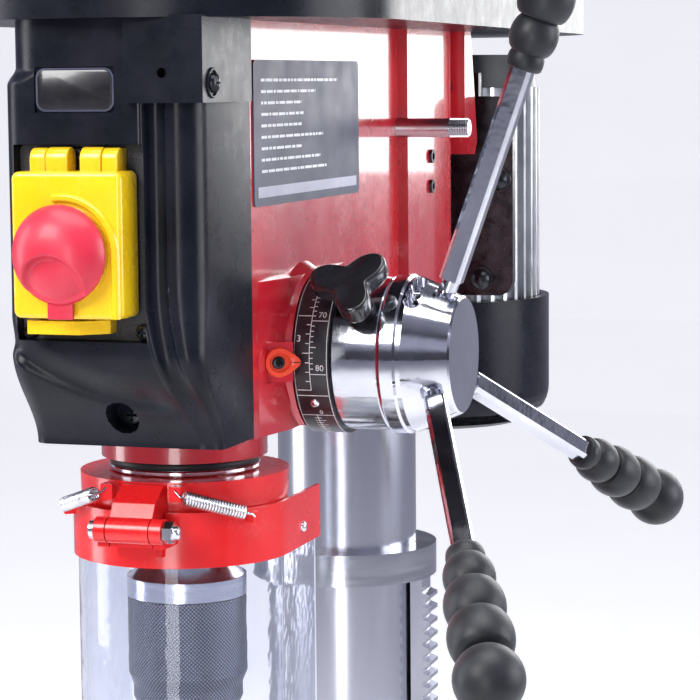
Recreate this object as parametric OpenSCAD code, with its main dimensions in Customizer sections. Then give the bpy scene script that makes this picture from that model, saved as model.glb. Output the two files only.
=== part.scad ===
// Bench pillar drill with a belt-driven spindle, lever feed and keyless chuck.
// Millimetres. +X is the operator's right, +Y the back, +Z up.
// The origin is the centre of the four bench bolts, on the underside of the base.

/* [Stand] */
// Width of the base casting, left to right
base_w = 280; // [270:5:320]
// Length of the base casting, front to back
base_l = 450; // [440:5:500]
// Height of the base casting without its column pad
base_h = 45; // [40:1:50]
// Bench bolt spacing, left to right
bench_bolt_x = 210; // [200:5:220]
// Bench bolt spacing, front to back
bench_bolt_y = 380; // [370:5:390]
// Distance from the bench bolts' centre back to the column axis
column_y = 125; // [120:1:130]
// Outside radius of the column tube
column_r = 40; // [39.5:0.1:40.5]
// Height of the feed shaft above the bench
feed_z = 760; // [740:5:800]

/* [Head] */
// Spindle axis to column axis
throat = 256; // [250:1:260]
// Half the width of the head casting and of its front cover
head_half_w = 46; // [45:0.5:47]
// Height of the head's top above the feed shaft
head_top = 160; // [158:1:162]
// Spindle axis back to the motor axis
motor_back = 437; // [430:1:445]
// Outside radius of the motor's cooling fins
motor_r = 70; // [66:1:72]

/* [Feed handle] */
// Outward tilt of the three levers
lever_tilt = 20; // [18:0.2:26]
// Length of one lever from the hub to its end
lever_len = 211; // [200:1:240]
// Angle of the first lever at rest, from the back upwards
lever_start = 92.7; // [60:0.1:120]

/* [Table] */
// Radius of the round table
table_r = 150; // [140:1:155]
// Height of the table's top at rest
table_top = 420; // [400:1:430]

/* [Hidden] */
$fn = 64;

fit = 0.05;                       // radial clearance of a sliding or turning fit
feed_back = 44.5;                 // spindle axis back to the feed shaft's axis
quill_r = 34;
spindle_y = column_y - throat;
motor_y = spindle_y + motor_back;
feed_y = spindle_y + feed_back;
column_top = feed_z + 88;
foot_z = base_h + 6;              // top of the base's column pad
foot_h = 62;
wall = 3;                         // moulded covers
seam_y = -29;                     // front cover meets the casting, from the spindle
fascia_y = -97;                   // front of the front cover, from the spindle
chin_y = -70;                     // front cover's lower edge, from the spindle
head_low = -34;                   // underside of the head, from the feed shaft
nose_low = -45.5;                 // underside of the quill nose
pad_half_w = 51.5;                // column boss
pad_y0 = 210;
pad_y1 = 313;

// ---- shared shapes ----

module rounded(w, l, r) {
    square([w - 2 * r, l], center = true);
    square([w, l - 2 * r], center = true);
    for (x = [-1, 1], y = [-1, 1]) translate([x * (w / 2 - r), y * (l / 2 - r)]) circle(r);
}

module slab(w, l, h, r) linear_extrude(h) rounded(w, l, r);

module slot2d(len, w) {
    square([len - w, w], center = true);
    for (x = [-1, 1]) translate([x * (len - w) / 2, 0]) circle(w / 2);
}

module pipe(ro, ri, h) difference() {
    cylinder(r = ro, h = h);
    translate([0, 0, -1]) cylinder(r = ri, h = h + 2);
}

module along_x() rotate([0, 90, 0]) children();
module along_y() rotate([-90, 0, 0]) children();
module on_spindle(dz = 0) translate([0, spindle_y, feed_z + dz]) children();
module on_column(z = 0) translate([0, column_y, z]) children();
module on_motor(dz = 0) translate([0, motor_y, feed_z + dz]) children();
module on_feed(dx = 0) translate([dx, feed_y, feed_z]) along_x() children();
module from_spindle(x, y, z) translate([x, spindle_y + y, feed_z + z]) children();
module mirrored_x() {
    children();
    mirror([1, 0, 0]) children();
}

// Hex-head bolt: the head stands on z = 0 and the shank runs down.
module hex_bolt(r, len, across, head) {
    cylinder(r = across / sqrt(3), h = head, $fn = 6);
    translate([0, 0, -len]) cylinder(r = r, h = len + 1);
}

// Pan-head screw with a cross recess, head on z = 0 and shank down.
module pan_screw(r, len, head_r, head) {
    difference() {
        cylinder(r = head_r, h = head);
        translate([0, 0, head]) {
            cube([head_r * 1.2, head_r * 0.3, head], center = true);
            cube([head_r * 0.3, head_r * 1.2, head], center = true);
        }
    }
    translate([0, 0, -len]) cylinder(r = r, h = len + 0.5);
}

function polar(r, a) = [r * cos(a), r * sin(a)];

// Spur gear outline with one tooth centred on the +X direction.
module gear2d(m, teeth, backlash = 0.5) {
    pitch_r = m * teeth / 2;
    root_r = pitch_r - m;
    tip_r = pitch_r + 0.7 * m;
    half = (PI * m / 2 - backlash) / 2 / pitch_r * 180 / PI;
    polygon([for (i = [0 : teeth - 1]) let (a = i * 360 / teeth) each [
        polar(root_r, a - half * 1.5), polar(pitch_r, a - half), polar(tip_r, a - half * 0.5),
        polar(tip_r, a + half * 0.5), polar(pitch_r, a + half), polar(root_r, a + half * 1.5)]]);
}

// Row of rack teeth along +Y with a gap centred on y = 0; teeth point to +X from x = 0.
module rack2d(m, first, last, backlash = 0.5) {
    p = PI * m;
    t = p / 2 - backlash;
    add = 0.75 * m;
    ded = 0.95 * m;
    for (i = [first : last]) translate([0, (i + 0.5) * p]) polygon([
        [-0.5, -t / 2 - ded * 0.364], [0, -t / 2 - ded * 0.364], [ded + add, -t / 2 + add * 0.364],
        [ded + add, t / 2 - add * 0.364], [0, t / 2 + ded * 0.364], [-0.5, t / 2 + ded * 0.364]]);
}

// ---- stand ----

module bench_bolt_places() for (x = [-1, 1], y = [-1, 1])
    translate([x * bench_bolt_x / 2, y * bench_bolt_y / 2, 0]) children();
module foot_bolt_places() on_column() for (a = [45 : 90 : 315]) rotate(a) translate([62, 0, 0]) children();

module base() color("dimgray") difference() {
    union() {
        difference() {
            slab(base_w, base_l, base_h, 24);
            translate([0, 0, -1]) slab(base_w - 24, base_l - 24, base_h - 16, 14);
        }
        bench_bolt_places() cylinder(r = 15, h = base_h - 1);
        on_column(10) cylinder(r = 78, h = foot_z - 10);
        translate([0, spindle_y + 12, base_h - 1]) slab(210, 180, 4, 6);
        for (x = [-60, 60]) translate([x - 4, -base_l / 2 + 8, 6]) cube([8, base_l - 16, base_h - 12]);
        for (y = [-130, 0]) translate([-base_w / 2 + 8, y - 4, 6]) cube([base_w - 16, 8, base_h - 12]);
    }
    bench_bolt_places() translate([0, 0, -1]) cylinder(r = 5.5, h = base_h + 2);
    foot_bolt_places() translate([0, 0, 8]) cylinder(r = 5, h = foot_z);
    for (x = [-40, 40]) translate([x, spindle_y + 12, -1])
        rotate(90) linear_extrude(base_h + 9) slot2d(130, 14);
}

module column_foot() color("dimgray") difference() {
    on_column(foot_z) {
        cylinder(r = 77, h = 14);
        cylinder(r = 54, h = foot_h);
        translate([0, 0, 13.9]) cylinder(r1 = 62, r2 = 54, h = 12);
    }
    on_column(foot_z - 1) cylinder(r = column_r + fit, h = foot_h + 2);
    foot_bolt_places() translate([0, 0, foot_z - 1]) cylinder(r = 5.5, h = 30);
    foot_bolt_places() translate([0, 0, foot_z + 14]) cylinder(r = 12, h = 30);
    on_column(foot_z + 45) along_x() translate([0, 0, column_r - 2]) cylinder(r = 4, h = 30);
}

module foot_bolts() color("silver") foot_bolt_places()
    translate([0, 0, foot_z + 14]) hex_bolt(4.9, 38, 17, 7);

module column() color("lightsteelblue") on_column(foot_z) pipe(column_r, column_r - 4.5, column_top - foot_z);

collar_h = 18;
collar_z = feed_z - 152;
rack_x = column_r + 0.5;
rack_t = 7;
rack_w = 18;
lift_m = 2.5;
lift_teeth = 12;
lift_z = 396;                     // height of the lift pinion at rest
rack_pitch_x = rack_x + rack_t + 0.95 * lift_m;
lift_x = rack_pitch_x + lift_m * lift_teeth / 2;

module rack() color("gainsboro") on_column() {
    translate([rack_x, -rack_w / 2, foot_z + foot_h + 1])
        cube([rack_t, rack_w, collar_z - foot_z - foot_h + 7]);
    translate([rack_x + rack_t, rack_w / 2, lift_z]) rotate([90, 0, 0])
        linear_extrude(rack_w) rack2d(lift_m, -34, 25);
}

module rack_collar() color("silver") on_column(collar_z) difference() {
    pipe(51.7, column_r + fit, collar_h);
    translate([0, 0, -1]) cylinder(r = column_r + 9, h = 10);
    rotate(140) translate([30, 0, 13]) along_x() cylinder(r = 3, h = 30);
}

// ---- table ----

bracket_z0 = 330;
bracket_h = 112;
tilt_z = 366;
tilt_face = -78;                  // machined face, from the column
worm_y = 21;
worm_z = lift_z + 30;

module table_bracket() color("dimgray") difference() {
    on_column() {
        translate([0, 0, bracket_z0]) cylinder(r = 57, h = bracket_h);
        translate([0, tilt_face, tilt_z]) along_y() cylinder(r = 36, h = 40);
        translate([34, -24, bracket_z0 + 30]) cube([58, 60, bracket_h - 30]);
        translate([-84, -17, bracket_z0 + 20]) cube([40, 34, 60]);
    }
    on_column(bracket_z0 - 1) cylinder(r = column_r + fit, h = bracket_h + 2);
    on_column(bracket_z0 - 1) translate([20, -9.4, 0]) cube([33.4, 18.8, bracket_h + 2]);
    on_column() {
        translate([lift_x, -10.4, lift_z]) along_y() cylinder(r = 17.4, h = 43);
        translate([lift_x, -30, lift_z]) along_y() cylinder(r = 6 + fit, h = 70);
        translate([lift_x, worm_y - 8.5, lift_z]) along_y() cylinder(r = 23, h = 17);
        translate([48, worm_y, worm_z]) along_x() cylinder(r = 9, h = 36);
        translate([48, worm_y, worm_z]) along_x() cylinder(r = 7 + fit, h = 60);
        translate([-90, -1.5, bracket_z0 - 1]) cube([60, 3, bracket_h + 2]);
        translate([-70, -20, bracket_z0 + 50]) along_y() cylinder(r = 6.2, h = 40);
        translate([0, tilt_face - 1, tilt_z]) along_y() cylinder(r = 8.2, h = 30);
    }
}

module lift_pinion() color("silver") on_column() translate([lift_x, 0, lift_z]) {
    along_y() translate([0, 0, -9.6]) linear_extrude(19.2)
        rotate(180) gear2d(lift_m, lift_teeth);
    along_y() translate([0, 0, -23.5]) cylinder(r = 6, h = 59);
    translate([0, worm_y - 6, 0]) along_y() cylinder(r = 20.5, h = 12);
}

module crank() color("silver") on_column() translate([0, worm_y, worm_z]) {
    along_x() {
        translate([0, 0, 50]) cylinder(r = 6.9, h = 58);
        translate([0, 0, 52]) cylinder(r = 8.6, h = 30);
        translate([0, 0, 96]) cylinder(r = 13, h = 16);
    }
    translate([106, 0, 0]) rotate([0, 90, 0]) rotate(90) linear_extrude(6) {
        translate([45, 0]) square([90, 16], center = true);
        translate([90, 0]) circle(9);
    }
    translate([111, 90, 0]) along_x() {
        cylinder(r = 4.9, h = 66);
        translate([0, 0, 61.5]) cylinder(r = 7.5, h = 4);
    }
}

module crank_grip() color("black") on_column() translate([113, worm_y + 90, worm_z]) along_x()
    difference() {
        rotate_extrude() polygon([[5.1, 0], [11, 0], [13, 6], [14.5, 20], [13.5, 42], [10.5, 54],
            [8, 59], [5.1, 59]]);
        translate([0, 0, 54]) cylinder(r = 7.9, h = 10);
    }

// Clamp screw with a slanted lever and a ball, turning about +Z.
module lock_lever(shank, reach) {
    cylinder(r = 5.9, h = shank);
    translate([0, 0, shank]) cylinder(r = 10, h = 13);
    translate([0, 0, shank + 7]) rotate([0, 62, 0]) cylinder(r = 4.5, h = reach);
    translate([0, 0, shank + 7]) rotate([0, 62, 0]) translate([0, 0, reach]) sphere(r = 11);
}

module bracket_lock() color("black") on_column() translate([-70, 15, bracket_z0 + 50])
    rotate([90, 0, 0]) rotate(90) lock_lever(33, 62);

arm_z = table_top - 30 - 50;
module table_arm() color("dimgray") difference() {
    union() {
        on_column() translate([0, tilt_face - 0.3 - 20, tilt_z]) along_y() cylinder(r = 36, h = 20);
        for (x = [-30, 18]) translate([x, spindle_y + 10, tilt_z - 20])
            cube([12, throat + tilt_face - 25, 42]);
        translate([-30, spindle_y + 10, tilt_z - 20]) cube([60, throat + tilt_face - 60, 10]);
        translate([0, spindle_y, arm_z]) cylinder(r = 34, h = 50);
    }
    translate([0, spindle_y, arm_z - 1]) cylinder(r = 18 + fit, h = 52);
    on_column() translate([0, tilt_face - 30, tilt_z]) along_y() cylinder(r = 8.2, h = 40);
    translate([0, spindle_y, arm_z + 20]) along_x() cylinder(r = 6.2, h = 40);
}

module tilt_bolt() color("silver") on_column() translate([0, tilt_face - 20.5, tilt_z])
    rotate([90, 0, 0]) hex_bolt(8, 46, 24, 10);

module table() color("gray") translate([0, spindle_y, 0]) difference() {
    union() {
        translate([0, 0, table_top - 13]) cylinder(r = table_r, h = 13);
        translate([0, 0, table_top - 29]) pipe(table_r - 2, table_r - 12, 17);
        translate([0, 0, table_top - 29.7]) cylinder(r = 36, h = 20);
        translate([0, 0, arm_z + 2]) cylinder(r = 18, h = 60);
        for (a = [45 : 90 : 315]) rotate(a) translate([30, -4, table_top - 26]) cube([table_r - 38, 8, 16]);
    }
    translate([0, 0, arm_z]) cylinder(r = 9, h = 100);
    for (a = [0 : 90 : 270]) rotate(a) translate([84, 0, table_top - 30]) linear_extrude(31) slot2d(84, 14);
    translate([0, 0, table_top - 3]) pipe(table_r - 5, table_r - 12, 5);
}

module table_lock() color("black") translate([19, spindle_y, arm_z + 20])
    along_x() lock_lever(18, 58);

// ---- head ----

module head_outline() {
    translate([-head_half_w, seam_y]) square([2 * head_half_w, pad_y0 - seam_y + 20]);
    translate([-pad_half_w, pad_y0]) square([2 * pad_half_w, pad_y1 - pad_y0 - 16]);
    translate([0, pad_y1 - 30]) rounded(2 * pad_half_w, 60, 16);
}

// Swelling on each side that carries the feed shaft, with room in front for the pointer.
module feed_boss() difference() {
    mirrored_x() {
        on_feed(head_half_w - 1) cylinder(r1 = 45, r2 = 39.3, h = 8);
        from_spindle(0, 0, head_low) linear_extrude(39 - head_low)
            translate([head_half_w, 0]) polygon([[-1, -27], [5, 9], [5, 81], [-1, 116]]);
    }
    from_spindle(-100, -60, head_low - 30) cube([200, 240, 30]);
    from_spindle(50.5, -6, 0) rotate([0, 0, pointer_turn]) translate([-9, -9, -9.5]) cube([22, 9.1, 19]);
}

module head_casting() color("crimson") difference() {
    union() {
        from_spindle(0, 0, head_low) linear_extrude(head_top - head_low) head_outline();
        on_spindle(nose_low) cylinder(r = 40, h = 20);
        feed_boss();
        from_spindle(50.5, -6, 0) rotate([0, 0, pointer_turn]) translate([-9, 0.1, -9.5]) cube([16, 12, 19]);
        mirrored_x() from_spindle(34, pad_y1, 0) rotate([90, 0, 90]) linear_extrude(24)
            polygon([[-6, 110], [-6, head_top], [8, head_top], [22, 96], [16, 88], [6, 104]]);
    }
    // quill bore, pulley bearing seat and the opening that the drive sleeve passes through
    on_spindle(nose_low - 1) cylinder(r = quill_r + fit, h = 120 - nose_low);
    on_spindle(110) cylinder(r = 17, h = 60);
    on_spindle(122) cylinder(r = 26.1, h = 60);
    // feed shaft bores
    translate([-80, feed_y, feed_z]) along_x() cylinder(r = 12 + fit, h = 160);
    translate([-15, feed_y, feed_z]) along_x() cylinder(r = 15.5 + fit, h = 100);
    // column bore and cavity between the quill housing and the column boss
    on_column(feed_z + head_low - 1) cylinder(r = column_r + fit, h = 88 - head_low + 2);
    from_spindle(0, 134, head_low + 12) translate([-head_half_w + 9, -64, 0])
        cube([2 * head_half_w - 18, 132 - 9, head_top - head_low - 24]);
    from_spindle(0, 262, 108) cylinder(r = 44, h = 60);
    // spot face under the depth pointer
    from_spindle(50.5, -6, 0) rotate([90, 0, pointer_turn]) translate([0, 0, -0.1])
        cylinder(r = 7.4, h = 9.1);
    // set screws, motor slide bars, tension rod, motor lead
    for (z = [72, 89]) from_spindle(column_r - 2, throat, z) along_x() cylinder(r = 4, h = 30);
    mirrored_x() from_spindle(motor_bar_x, 213, motor_bar_z) along_y() cylinder(r = 7 + fit, h = 140);
    from_spindle(32, 210, 106) along_x() cylinder(r = 5.3, h = 40);
    from_spindle(lead_x, 270, lead_z) along_y() cylinder(r = 6, h = 60);
}

motor_bar_x = 43;
motor_bar_z = 128;
lead_x = 24;
lead_z = 138;

module set_screw(len) difference() {
    cylinder(r = 3.9, h = len);
    translate([0, 0, len - 4]) cylinder(r = 2.3, h = 20, $fn = 6);
}

module set_screws() color("dimgray") {
    for (z = [72, 89]) from_spindle(column_r + 0.2, throat, z) along_x() set_screw(13);
    on_column(foot_z + 45) along_x() translate([0, 0, column_r + 0.2]) set_screw(13.5);
    on_column(collar_z) rotate(140) translate([column_r + 0.2, 0, 13])
        along_x() scale([0.74, 0.74, 1]) set_screw(10.8);
}

module tension_rod() color("silver") from_spindle(0, 210, 106) along_x() {
    translate([0, 0, 40]) cylinder(r = 5.2, h = 36);
    translate([0, 0, 75.9]) cylinder(r = 4.4, h = 10.6);
    for (i = [0 : 6]) translate([0, 0, 76.4 + i * 1.4]) cylinder(r1 = 4.4, r2 = 5.2, h = 0.7);
}

// Side plate on the casting and the small display window on the front cover.
module label_plates() color("darkslategray") {
    from_spindle(head_half_w, 54.5, 74) rotate([90, 0, 90]) linear_extrude(0.8)
        translate([0, 34]) rounded(161, 68, 3);
    from_spindle(-11.5, fascia_y + 0.7, 129) rotate([-90, 0, 0]) slab(37.2, 19.2, 0.8, 4.6);
}

module fascia_outline(inset = 0) let (w = 2 * (head_half_w - inset), l = seam_y - fascia_y) difference() {
    union() {
        translate([0, (fascia_y + seam_y) / 2 + 6]) square([w, l - 12 - 2 * inset], center = true);
        translate([0, (fascia_y + seam_y) / 2]) rounded(w, l - 2 * inset, 12 - inset);
        translate([-head_half_w + inset, seam_y - 14]) square([2 * (head_half_w - inset), 14 - inset]);
    }
    translate([30.5, fascia_y]) circle(6 + inset);
}

switch_x = -10.5;                 // centre of the switch, left of the spindle
switch_z = 61.2;
module fascia() color("#1b1c20") difference() {
    from_spindle(0, 0, -33) linear_extrude(head_top + 33) fascia_outline();
    difference() {
        from_spindle(0, 0, -36) linear_extrude(head_top + 40) translate([0, wall + 0.5]) fascia_outline(wall);
        from_spindle(-60, -110, -60) cube([120, 120, 30]);
        from_spindle(0, 0, -33) chin_cutter(wall);
    }
    from_spindle(0, 0, -33) chin_cutter(0);
    on_spindle(-40) cylinder(r = 41, h = 20);
    // switch recess and panel opening
    from_spindle(switch_x, fascia_y - 1, switch_z) rotate([-90, 0, 0]) slab(63, 87.4, 20, 3);
    from_spindle(-11.5, fascia_y - 1, 129) rotate([-90, 0, 0]) slab(38, 20, 2.6, 5);
    from_spindle(0, -100, -19) along_y() cylinder(r = 7.5, h = 40);
    for (x = [-38, 38], z = [20, 140]) from_spindle(x, seam_y - 30, z) along_y() cylinder(r = 2.2, h = 40);
}

// Wedge that slopes the lower front of the cover back to its chin.
module chin_cutter(t) rotate([90, 0, 90]) translate([0, 0, -60]) linear_extrude(120)
    polygon([[fascia_y - 20, -10], [fascia_y - 20, 40], [fascia_y + t, 40], [fascia_y + t + 4, 22],
        [chin_y + t, 0], [chin_y + t, -10]]);

plate_screws = [[-27, -39.6], [27, -39.6], [-2.6, 39.2]];
module fascia_screws() color("dimgray") {
    for (p = plate_screws) from_spindle(switch_x + p[0], fascia_y + 8, switch_z + p[1])
        rotate([90, 0, 0]) pan_screw(1.6, 4, 3.4, 1.8);
    from_spindle(0, -62, -19) rotate([90, 0, 0]) pan_screw(2.4, 8, 5, 2.5);
}

module switch_plate() color("#16171a") difference() {
    from_spindle(switch_x, fascia_y + 8, switch_z) rotate([-90, 0, 0]) slab(62.4, 86.8, 3, 2.6);
    from_spindle(switch_x, fascia_y + 7, switch_z - 2) rotate([-90, 0, 0]) slab(42.6, 52.6, 6, 2);
    for (p = plate_screws) from_spindle(switch_x + p[0], fascia_y + 4, switch_z + p[1])
        along_y() cylinder(r = 1.8, h = 10);
}

lid_w = 52.4;
lid_h = 64.6;
lid_front = fascia_y - 14;
lid_back = fascia_y + 4.5;
hinge_y = fascia_y;
hinge_z = switch_z + lid_h / 2 + 5.2;
module switch_box() color("gold") difference() {
    union() {
        from_spindle(switch_x, fascia_y + 4.6, switch_z - 2) rotate([-90, 0, 0]) slab(42, 52, 40, 2);
        from_spindle(switch_x, fascia_y + 4.8, switch_z - lid_h / 2 - 7.5)
            linear_extrude(6) polygon([[-24, 0], [14, 0], [14, -4], [3, -13], [-22, -13], [-24, -9]]);
        from_spindle(switch_x - 18, fascia_y + 4.8, switch_z - lid_h / 2 - 7.5) cube([32, 3, 14]);
        for (x = [-20.3, 13.7]) from_spindle(switch_x + x, hinge_y, hinge_z) hinge_ear(6.6);
        for (x = [-20.3, 13.7]) from_spindle(switch_x + x, fascia_y + 4.8, switch_z + 20)
            cube([6.6, 3, hinge_z - switch_z - 20]);
    }
    from_spindle(switch_x, fascia_y - 1, switch_z + 11) rotate([-90, 0, 0]) slab(18.6, 20.6, 26, 1.6);
    from_spindle(switch_x, fascia_y - 1, switch_z - 14) rotate([-90, 0, 0]) slab(18.6, 20.6, 26, 1.6);
    from_spindle(switch_x - 30, hinge_y, hinge_z) along_x() cylinder(r = 1.55, h = 60);
}

// Half of a hinge: a barrel along +X with a leg that reaches back to the plate.
module hinge_ear(w) {
    along_x() cylinder(r = 4.6, h = w);
    translate([0, 0, -4.6]) cube([w, 7.8, 9.2]);
}

module start_button() color("limegreen") from_spindle(switch_x, fascia_y + 1.4, switch_z + 11)
    rotate([-90, 0, 0]) slab(18, 20, 14, 1.4);
module stop_button() color("red") from_spindle(switch_x, fascia_y + 0.4, switch_z - 14)
    rotate([-90, 0, 0]) slab(18, 20, 15, 1.4);

mushroom_x = -12;
mushroom_z = 57.5;
module switch_lid() color("gold") difference() {
    union() {
        difference() {
            from_spindle(switch_x, lid_front, switch_z) rotate([-90, 0, 0])
                slab(lid_w, lid_h, lid_back - lid_front, 3);
            from_spindle(switch_x, lid_front + 2.2, switch_z) rotate([-90, 0, 0])
                slab(lid_w - 4.4, lid_h - 4.4, 30, 2);
        }
        from_spindle(mushroom_x, lid_front - 1.2, mushroom_z) along_y() pipe(25, 21.5, 2);
        for (x = [-13, 3.4]) from_spindle(switch_x + x, 0, 0) {
            translate([0, hinge_y, hinge_z]) along_x() cylinder(r = 4.4, h = 9.6);
            translate([0, lid_front + 4, hinge_z - 6]) cube([9.6, 10.2, 5]);
        }
        from_spindle(switch_x - 24, hinge_y, hinge_z) along_x() cylinder(r = 1.5, h = 48);
    }
    from_spindle(mushroom_x, lid_front - 2, mushroom_z) along_y() cylinder(r = 6.2, h = 10);
}

module stop_mushroom() color("red") from_spindle(mushroom_x, lid_front, mushroom_z) rotate([90, 0, 0]) {
    translate([0, 0, 5]) rotate_extrude() polygon(concat([[0, 0], [21, 0]],
        [for (a = [0 : 10 : 90]) [14 + 8 * cos(a), 3 + 8 * sin(a)]], [[0, 12.2]]));
    translate([0, 0, -7]) cylinder(r = 6, h = 13);
    translate([-4, -9, -7]) cube([8, 12, 3]);
    translate([0, -5.2, -12.2]) cylinder(r = 4, h = 7.2);
    translate([-6.5, -28.5, 3.4]) cube([12, 15, 2]);
}

// ---- quill, spindle and chuck ----

quill_low = -52;
module quill() color("silver") {
    difference() {
        union() {
            on_spindle(quill_low) cylinder(r = quill_r, h = 115 - quill_low);
            on_spindle(-76) cylinder(r = 29.5, h = 30);
        }
        on_spindle(-77) cylinder(r = 12.6, h = 200);
        on_spindle(-77) cylinder(r = 24, h = 19);
        on_spindle(98) cylinder(r = 21, h = 20);
        from_spindle(-7.4, 29.6, -14) cube([14.8, 10, 118]);
        from_spindle(-2.5, -36, -12) cube([5, 6, 116]);
    }
    from_spindle(-7, 29.6, 0) rotate([90, 0, 90]) linear_extrude(14) rack2d(2, -2, 15);
}

module quill_bearings() color("gray") {
    on_spindle(-76) pipe(23.95, 17.4, 17);
    on_spindle(99) pipe(20.95, 12.1, 14);
}

module bumper_ring() color("black") on_spindle(quill_low + 0.3) pipe(35.6, quill_r + 0.05, 5.6);

module spindle() color("silver") {
    on_spindle(-84) cylinder(r = 17.3, h = 26);
    on_spindle(-60) cylinder(r = 12, h = 175);
    on_spindle(114) cylinder(r = 8.95, h = 131);
    on_spindle(-100) cylinder(r = 12, h = 20);
}

chuck_top = -97;
module chuck_body() color("darkgray") on_spindle() difference() {
    union() {
        translate([0, 0, chuck_top - 7.7]) cylinder(r1 = 28, r2 = 20, h = 7.7);
        translate([0, 0, -114]) cylinder(r = 29, h = 9.4);
        translate([0, 0, -160]) cylinder(r = 21, h = 47);
        translate([0, 0, -186]) cylinder(r1 = 14, r2 = 21, h = 26.1);
    }
    translate([0, 0, -103]) cylinder(r = 12.05, h = 10);
    translate([0, 0, -190]) cylinder(r = 7, h = 20);
    jaw_places(0) translate([0, 0, -6]) cylinder(r = 4.3, h = 62);
}

// Jaws lie on lines that meet below the chuck; local +Z runs up and outwards.
jaw_tilt = 17;
module jaw_places(i) {
    for (k = [0 : 2]) jaw_place(k) children();
}
module jaw_place(k) rotate(90 + k * 120) translate([1.9, 0, -198]) rotate([0, jaw_tilt, 0]) children();
jaw_rest = 12;                    // how far the jaws stand open at rest
// Each jaw's tip is a wedge with a narrow flat, so that the three close together on the axis.
module jaw(k) color("dimgray") on_spindle() intersection() {
    difference() {
        jaw_place(k) translate([0, 0, jaw_rest]) cylinder(r = 4, h = 30);
        translate([0, 0, -206]) rotate(90 + k * 120) translate([-20, -10, 0])
            cube([20.5 + jaw_rest * sin(jaw_tilt), 20, 60]);
    }
    translate([0, 0, -215]) rotate(90 + k * 120) translate([(jaw_rest + 0.1) * sin(jaw_tilt) + 0.05, 0])
        linear_extrude(80) polygon([[0, 0], [30, 30 * tan(59.5)], [30, -30 * tan(59.5)]]);
}
module jaw_1() jaw(0);
module jaw_2() jaw(1);
module jaw_3() jaw(2);

module chuck_sleeve() color("#2a2b30") on_spindle() difference() {
    rotate_extrude() polygon([[21.4, -114.4], [28.8, -114.4], [28.8, -152], [26.5, -158], [26.5, -164],
        [19, -184], [17, -184], [21.4, -163]]);
}

// ---- chuck guard ----

guard_hinge_y = -69;
guard_hinge_z = -72;
module guard_clamp() color("red") on_spindle() difference() {
    union() {
        translate([0, 0, -80]) cylinder(r1 = 49.4, r2 = 50.3, h = 27.4);
        translate([-10.4, guard_hinge_y, -79.8]) cube([20.8, 25, 11.8]);
        translate([0, -45, -68]) rotate([90, 0, -90]) translate([0, 0, -10.4]) linear_extrude(20.8)
            polygon([[0, 0], [25, 0], [20, 8], [9, 15], [0, 15]]);
        translate([-10.4, guard_hinge_y, guard_hinge_z]) along_x() cylinder(r = 6, h = 20.8);
        mirrored_x() translate([14, -57, -60]) cube([6, 13, 7]);
    }
    translate([0, 0, -90]) cylinder(r = 29.55, h = 50);
    translate([0, 0, -82]) cylinder(r = 45, h = 18);
    translate([-30, guard_hinge_y, guard_hinge_z]) along_x() cylinder(r = 2.6, h = 60);
    mirrored_x() translate([17, -54, -62]) cylinder(r = 1.2, h = 12);
}

module u_band(r, t, back, h) linear_extrude(h) difference() {
    union() {
        circle(r);
        translate([-r, 0]) square([2 * r, back]);
    }
    circle(r - t);
    translate([-r + t, 0]) square([2 * (r - t), back + 1]);
    translate([-r - 1, back]) square([2 * r + 2, r]);
}

module guard_band() color("red") on_spindle() translate([0, -2.5, 0]) difference() {
    union() {
        translate([0, 0, -92]) u_band(53, 2, 49, 26);
        mirrored_x() translate([11, guard_hinge_y + 2.5, guard_hinge_z]) along_x() cylinder(r = 6, h = 5.6);
        mirrored_x() translate([11, guard_hinge_y + 2.5, -80]) cube([5.6, 18.4, 10]);
        translate([-11, -56, -86]) cube([22, 5.6, 4]);
        mirrored_x() rotate(-33) translate([52, -2, -72]) cube([6, 4, 5]);
    }
    translate([-10.9, -70, -81.4]) cube([21.8, 24, 30]);
    translate([-30, guard_hinge_y + 2.5, guard_hinge_z]) along_x() cylinder(r = 2.6, h = 60);
}

module guard_shield() color("lightcyan", 0.4) on_spindle() translate([0, -2.5, 0])
    translate([0, 0, -186]) u_band(50.9, 2, 47, 102);

module guard_bolt() color("silver") {
    from_spindle(-19, guard_hinge_y, guard_hinge_z) along_x() cylinder(r = 2.5, h = 42);
    from_spindle(17, guard_hinge_y, guard_hinge_z) along_x() cylinder(r = 5.2, h = 4.4, $fn = 6);
    from_spindle(-19.5, guard_hinge_y, guard_hinge_z) along_x() cylinder(r = 4.4, h = 2.4);
}

// Tube from point a to point b.
module tube_between(a, b, ro, ri) translate(a)
    rotate([0, acos((b - a).z / norm(b - a)), atan2((b - a).y, (b - a).x)]) pipe(ro, ri, norm(b - a));

module guard_springs() color("silver") mirrored_x() from_spindle(0, 0, 0)
    tube_between([22, -61.5, -57.5], [46, -40.5, -66.5], 2.9, 2.1);

// ---- feed handle and depth stop ----

ring_x0 = 53.8;
ring_w = 17.4;
hub_face = 127.6;

module feed_shaft() color("silver") on_feed() {
    translate([0, 0, -74]) cylinder(r = 12, h = 60);
    translate([0, 0, -14.2]) cylinder(r = 9.5, h = 29);
    translate([0, 0, 14.5]) cylinder(r = 12, h = 7);
    translate([0, 0, 21]) cylinder(r = 15.5, h = 35);
    translate([0, 0, -7]) linear_extrude(14) rotate(-90) gear2d(2, 13);
}

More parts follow.
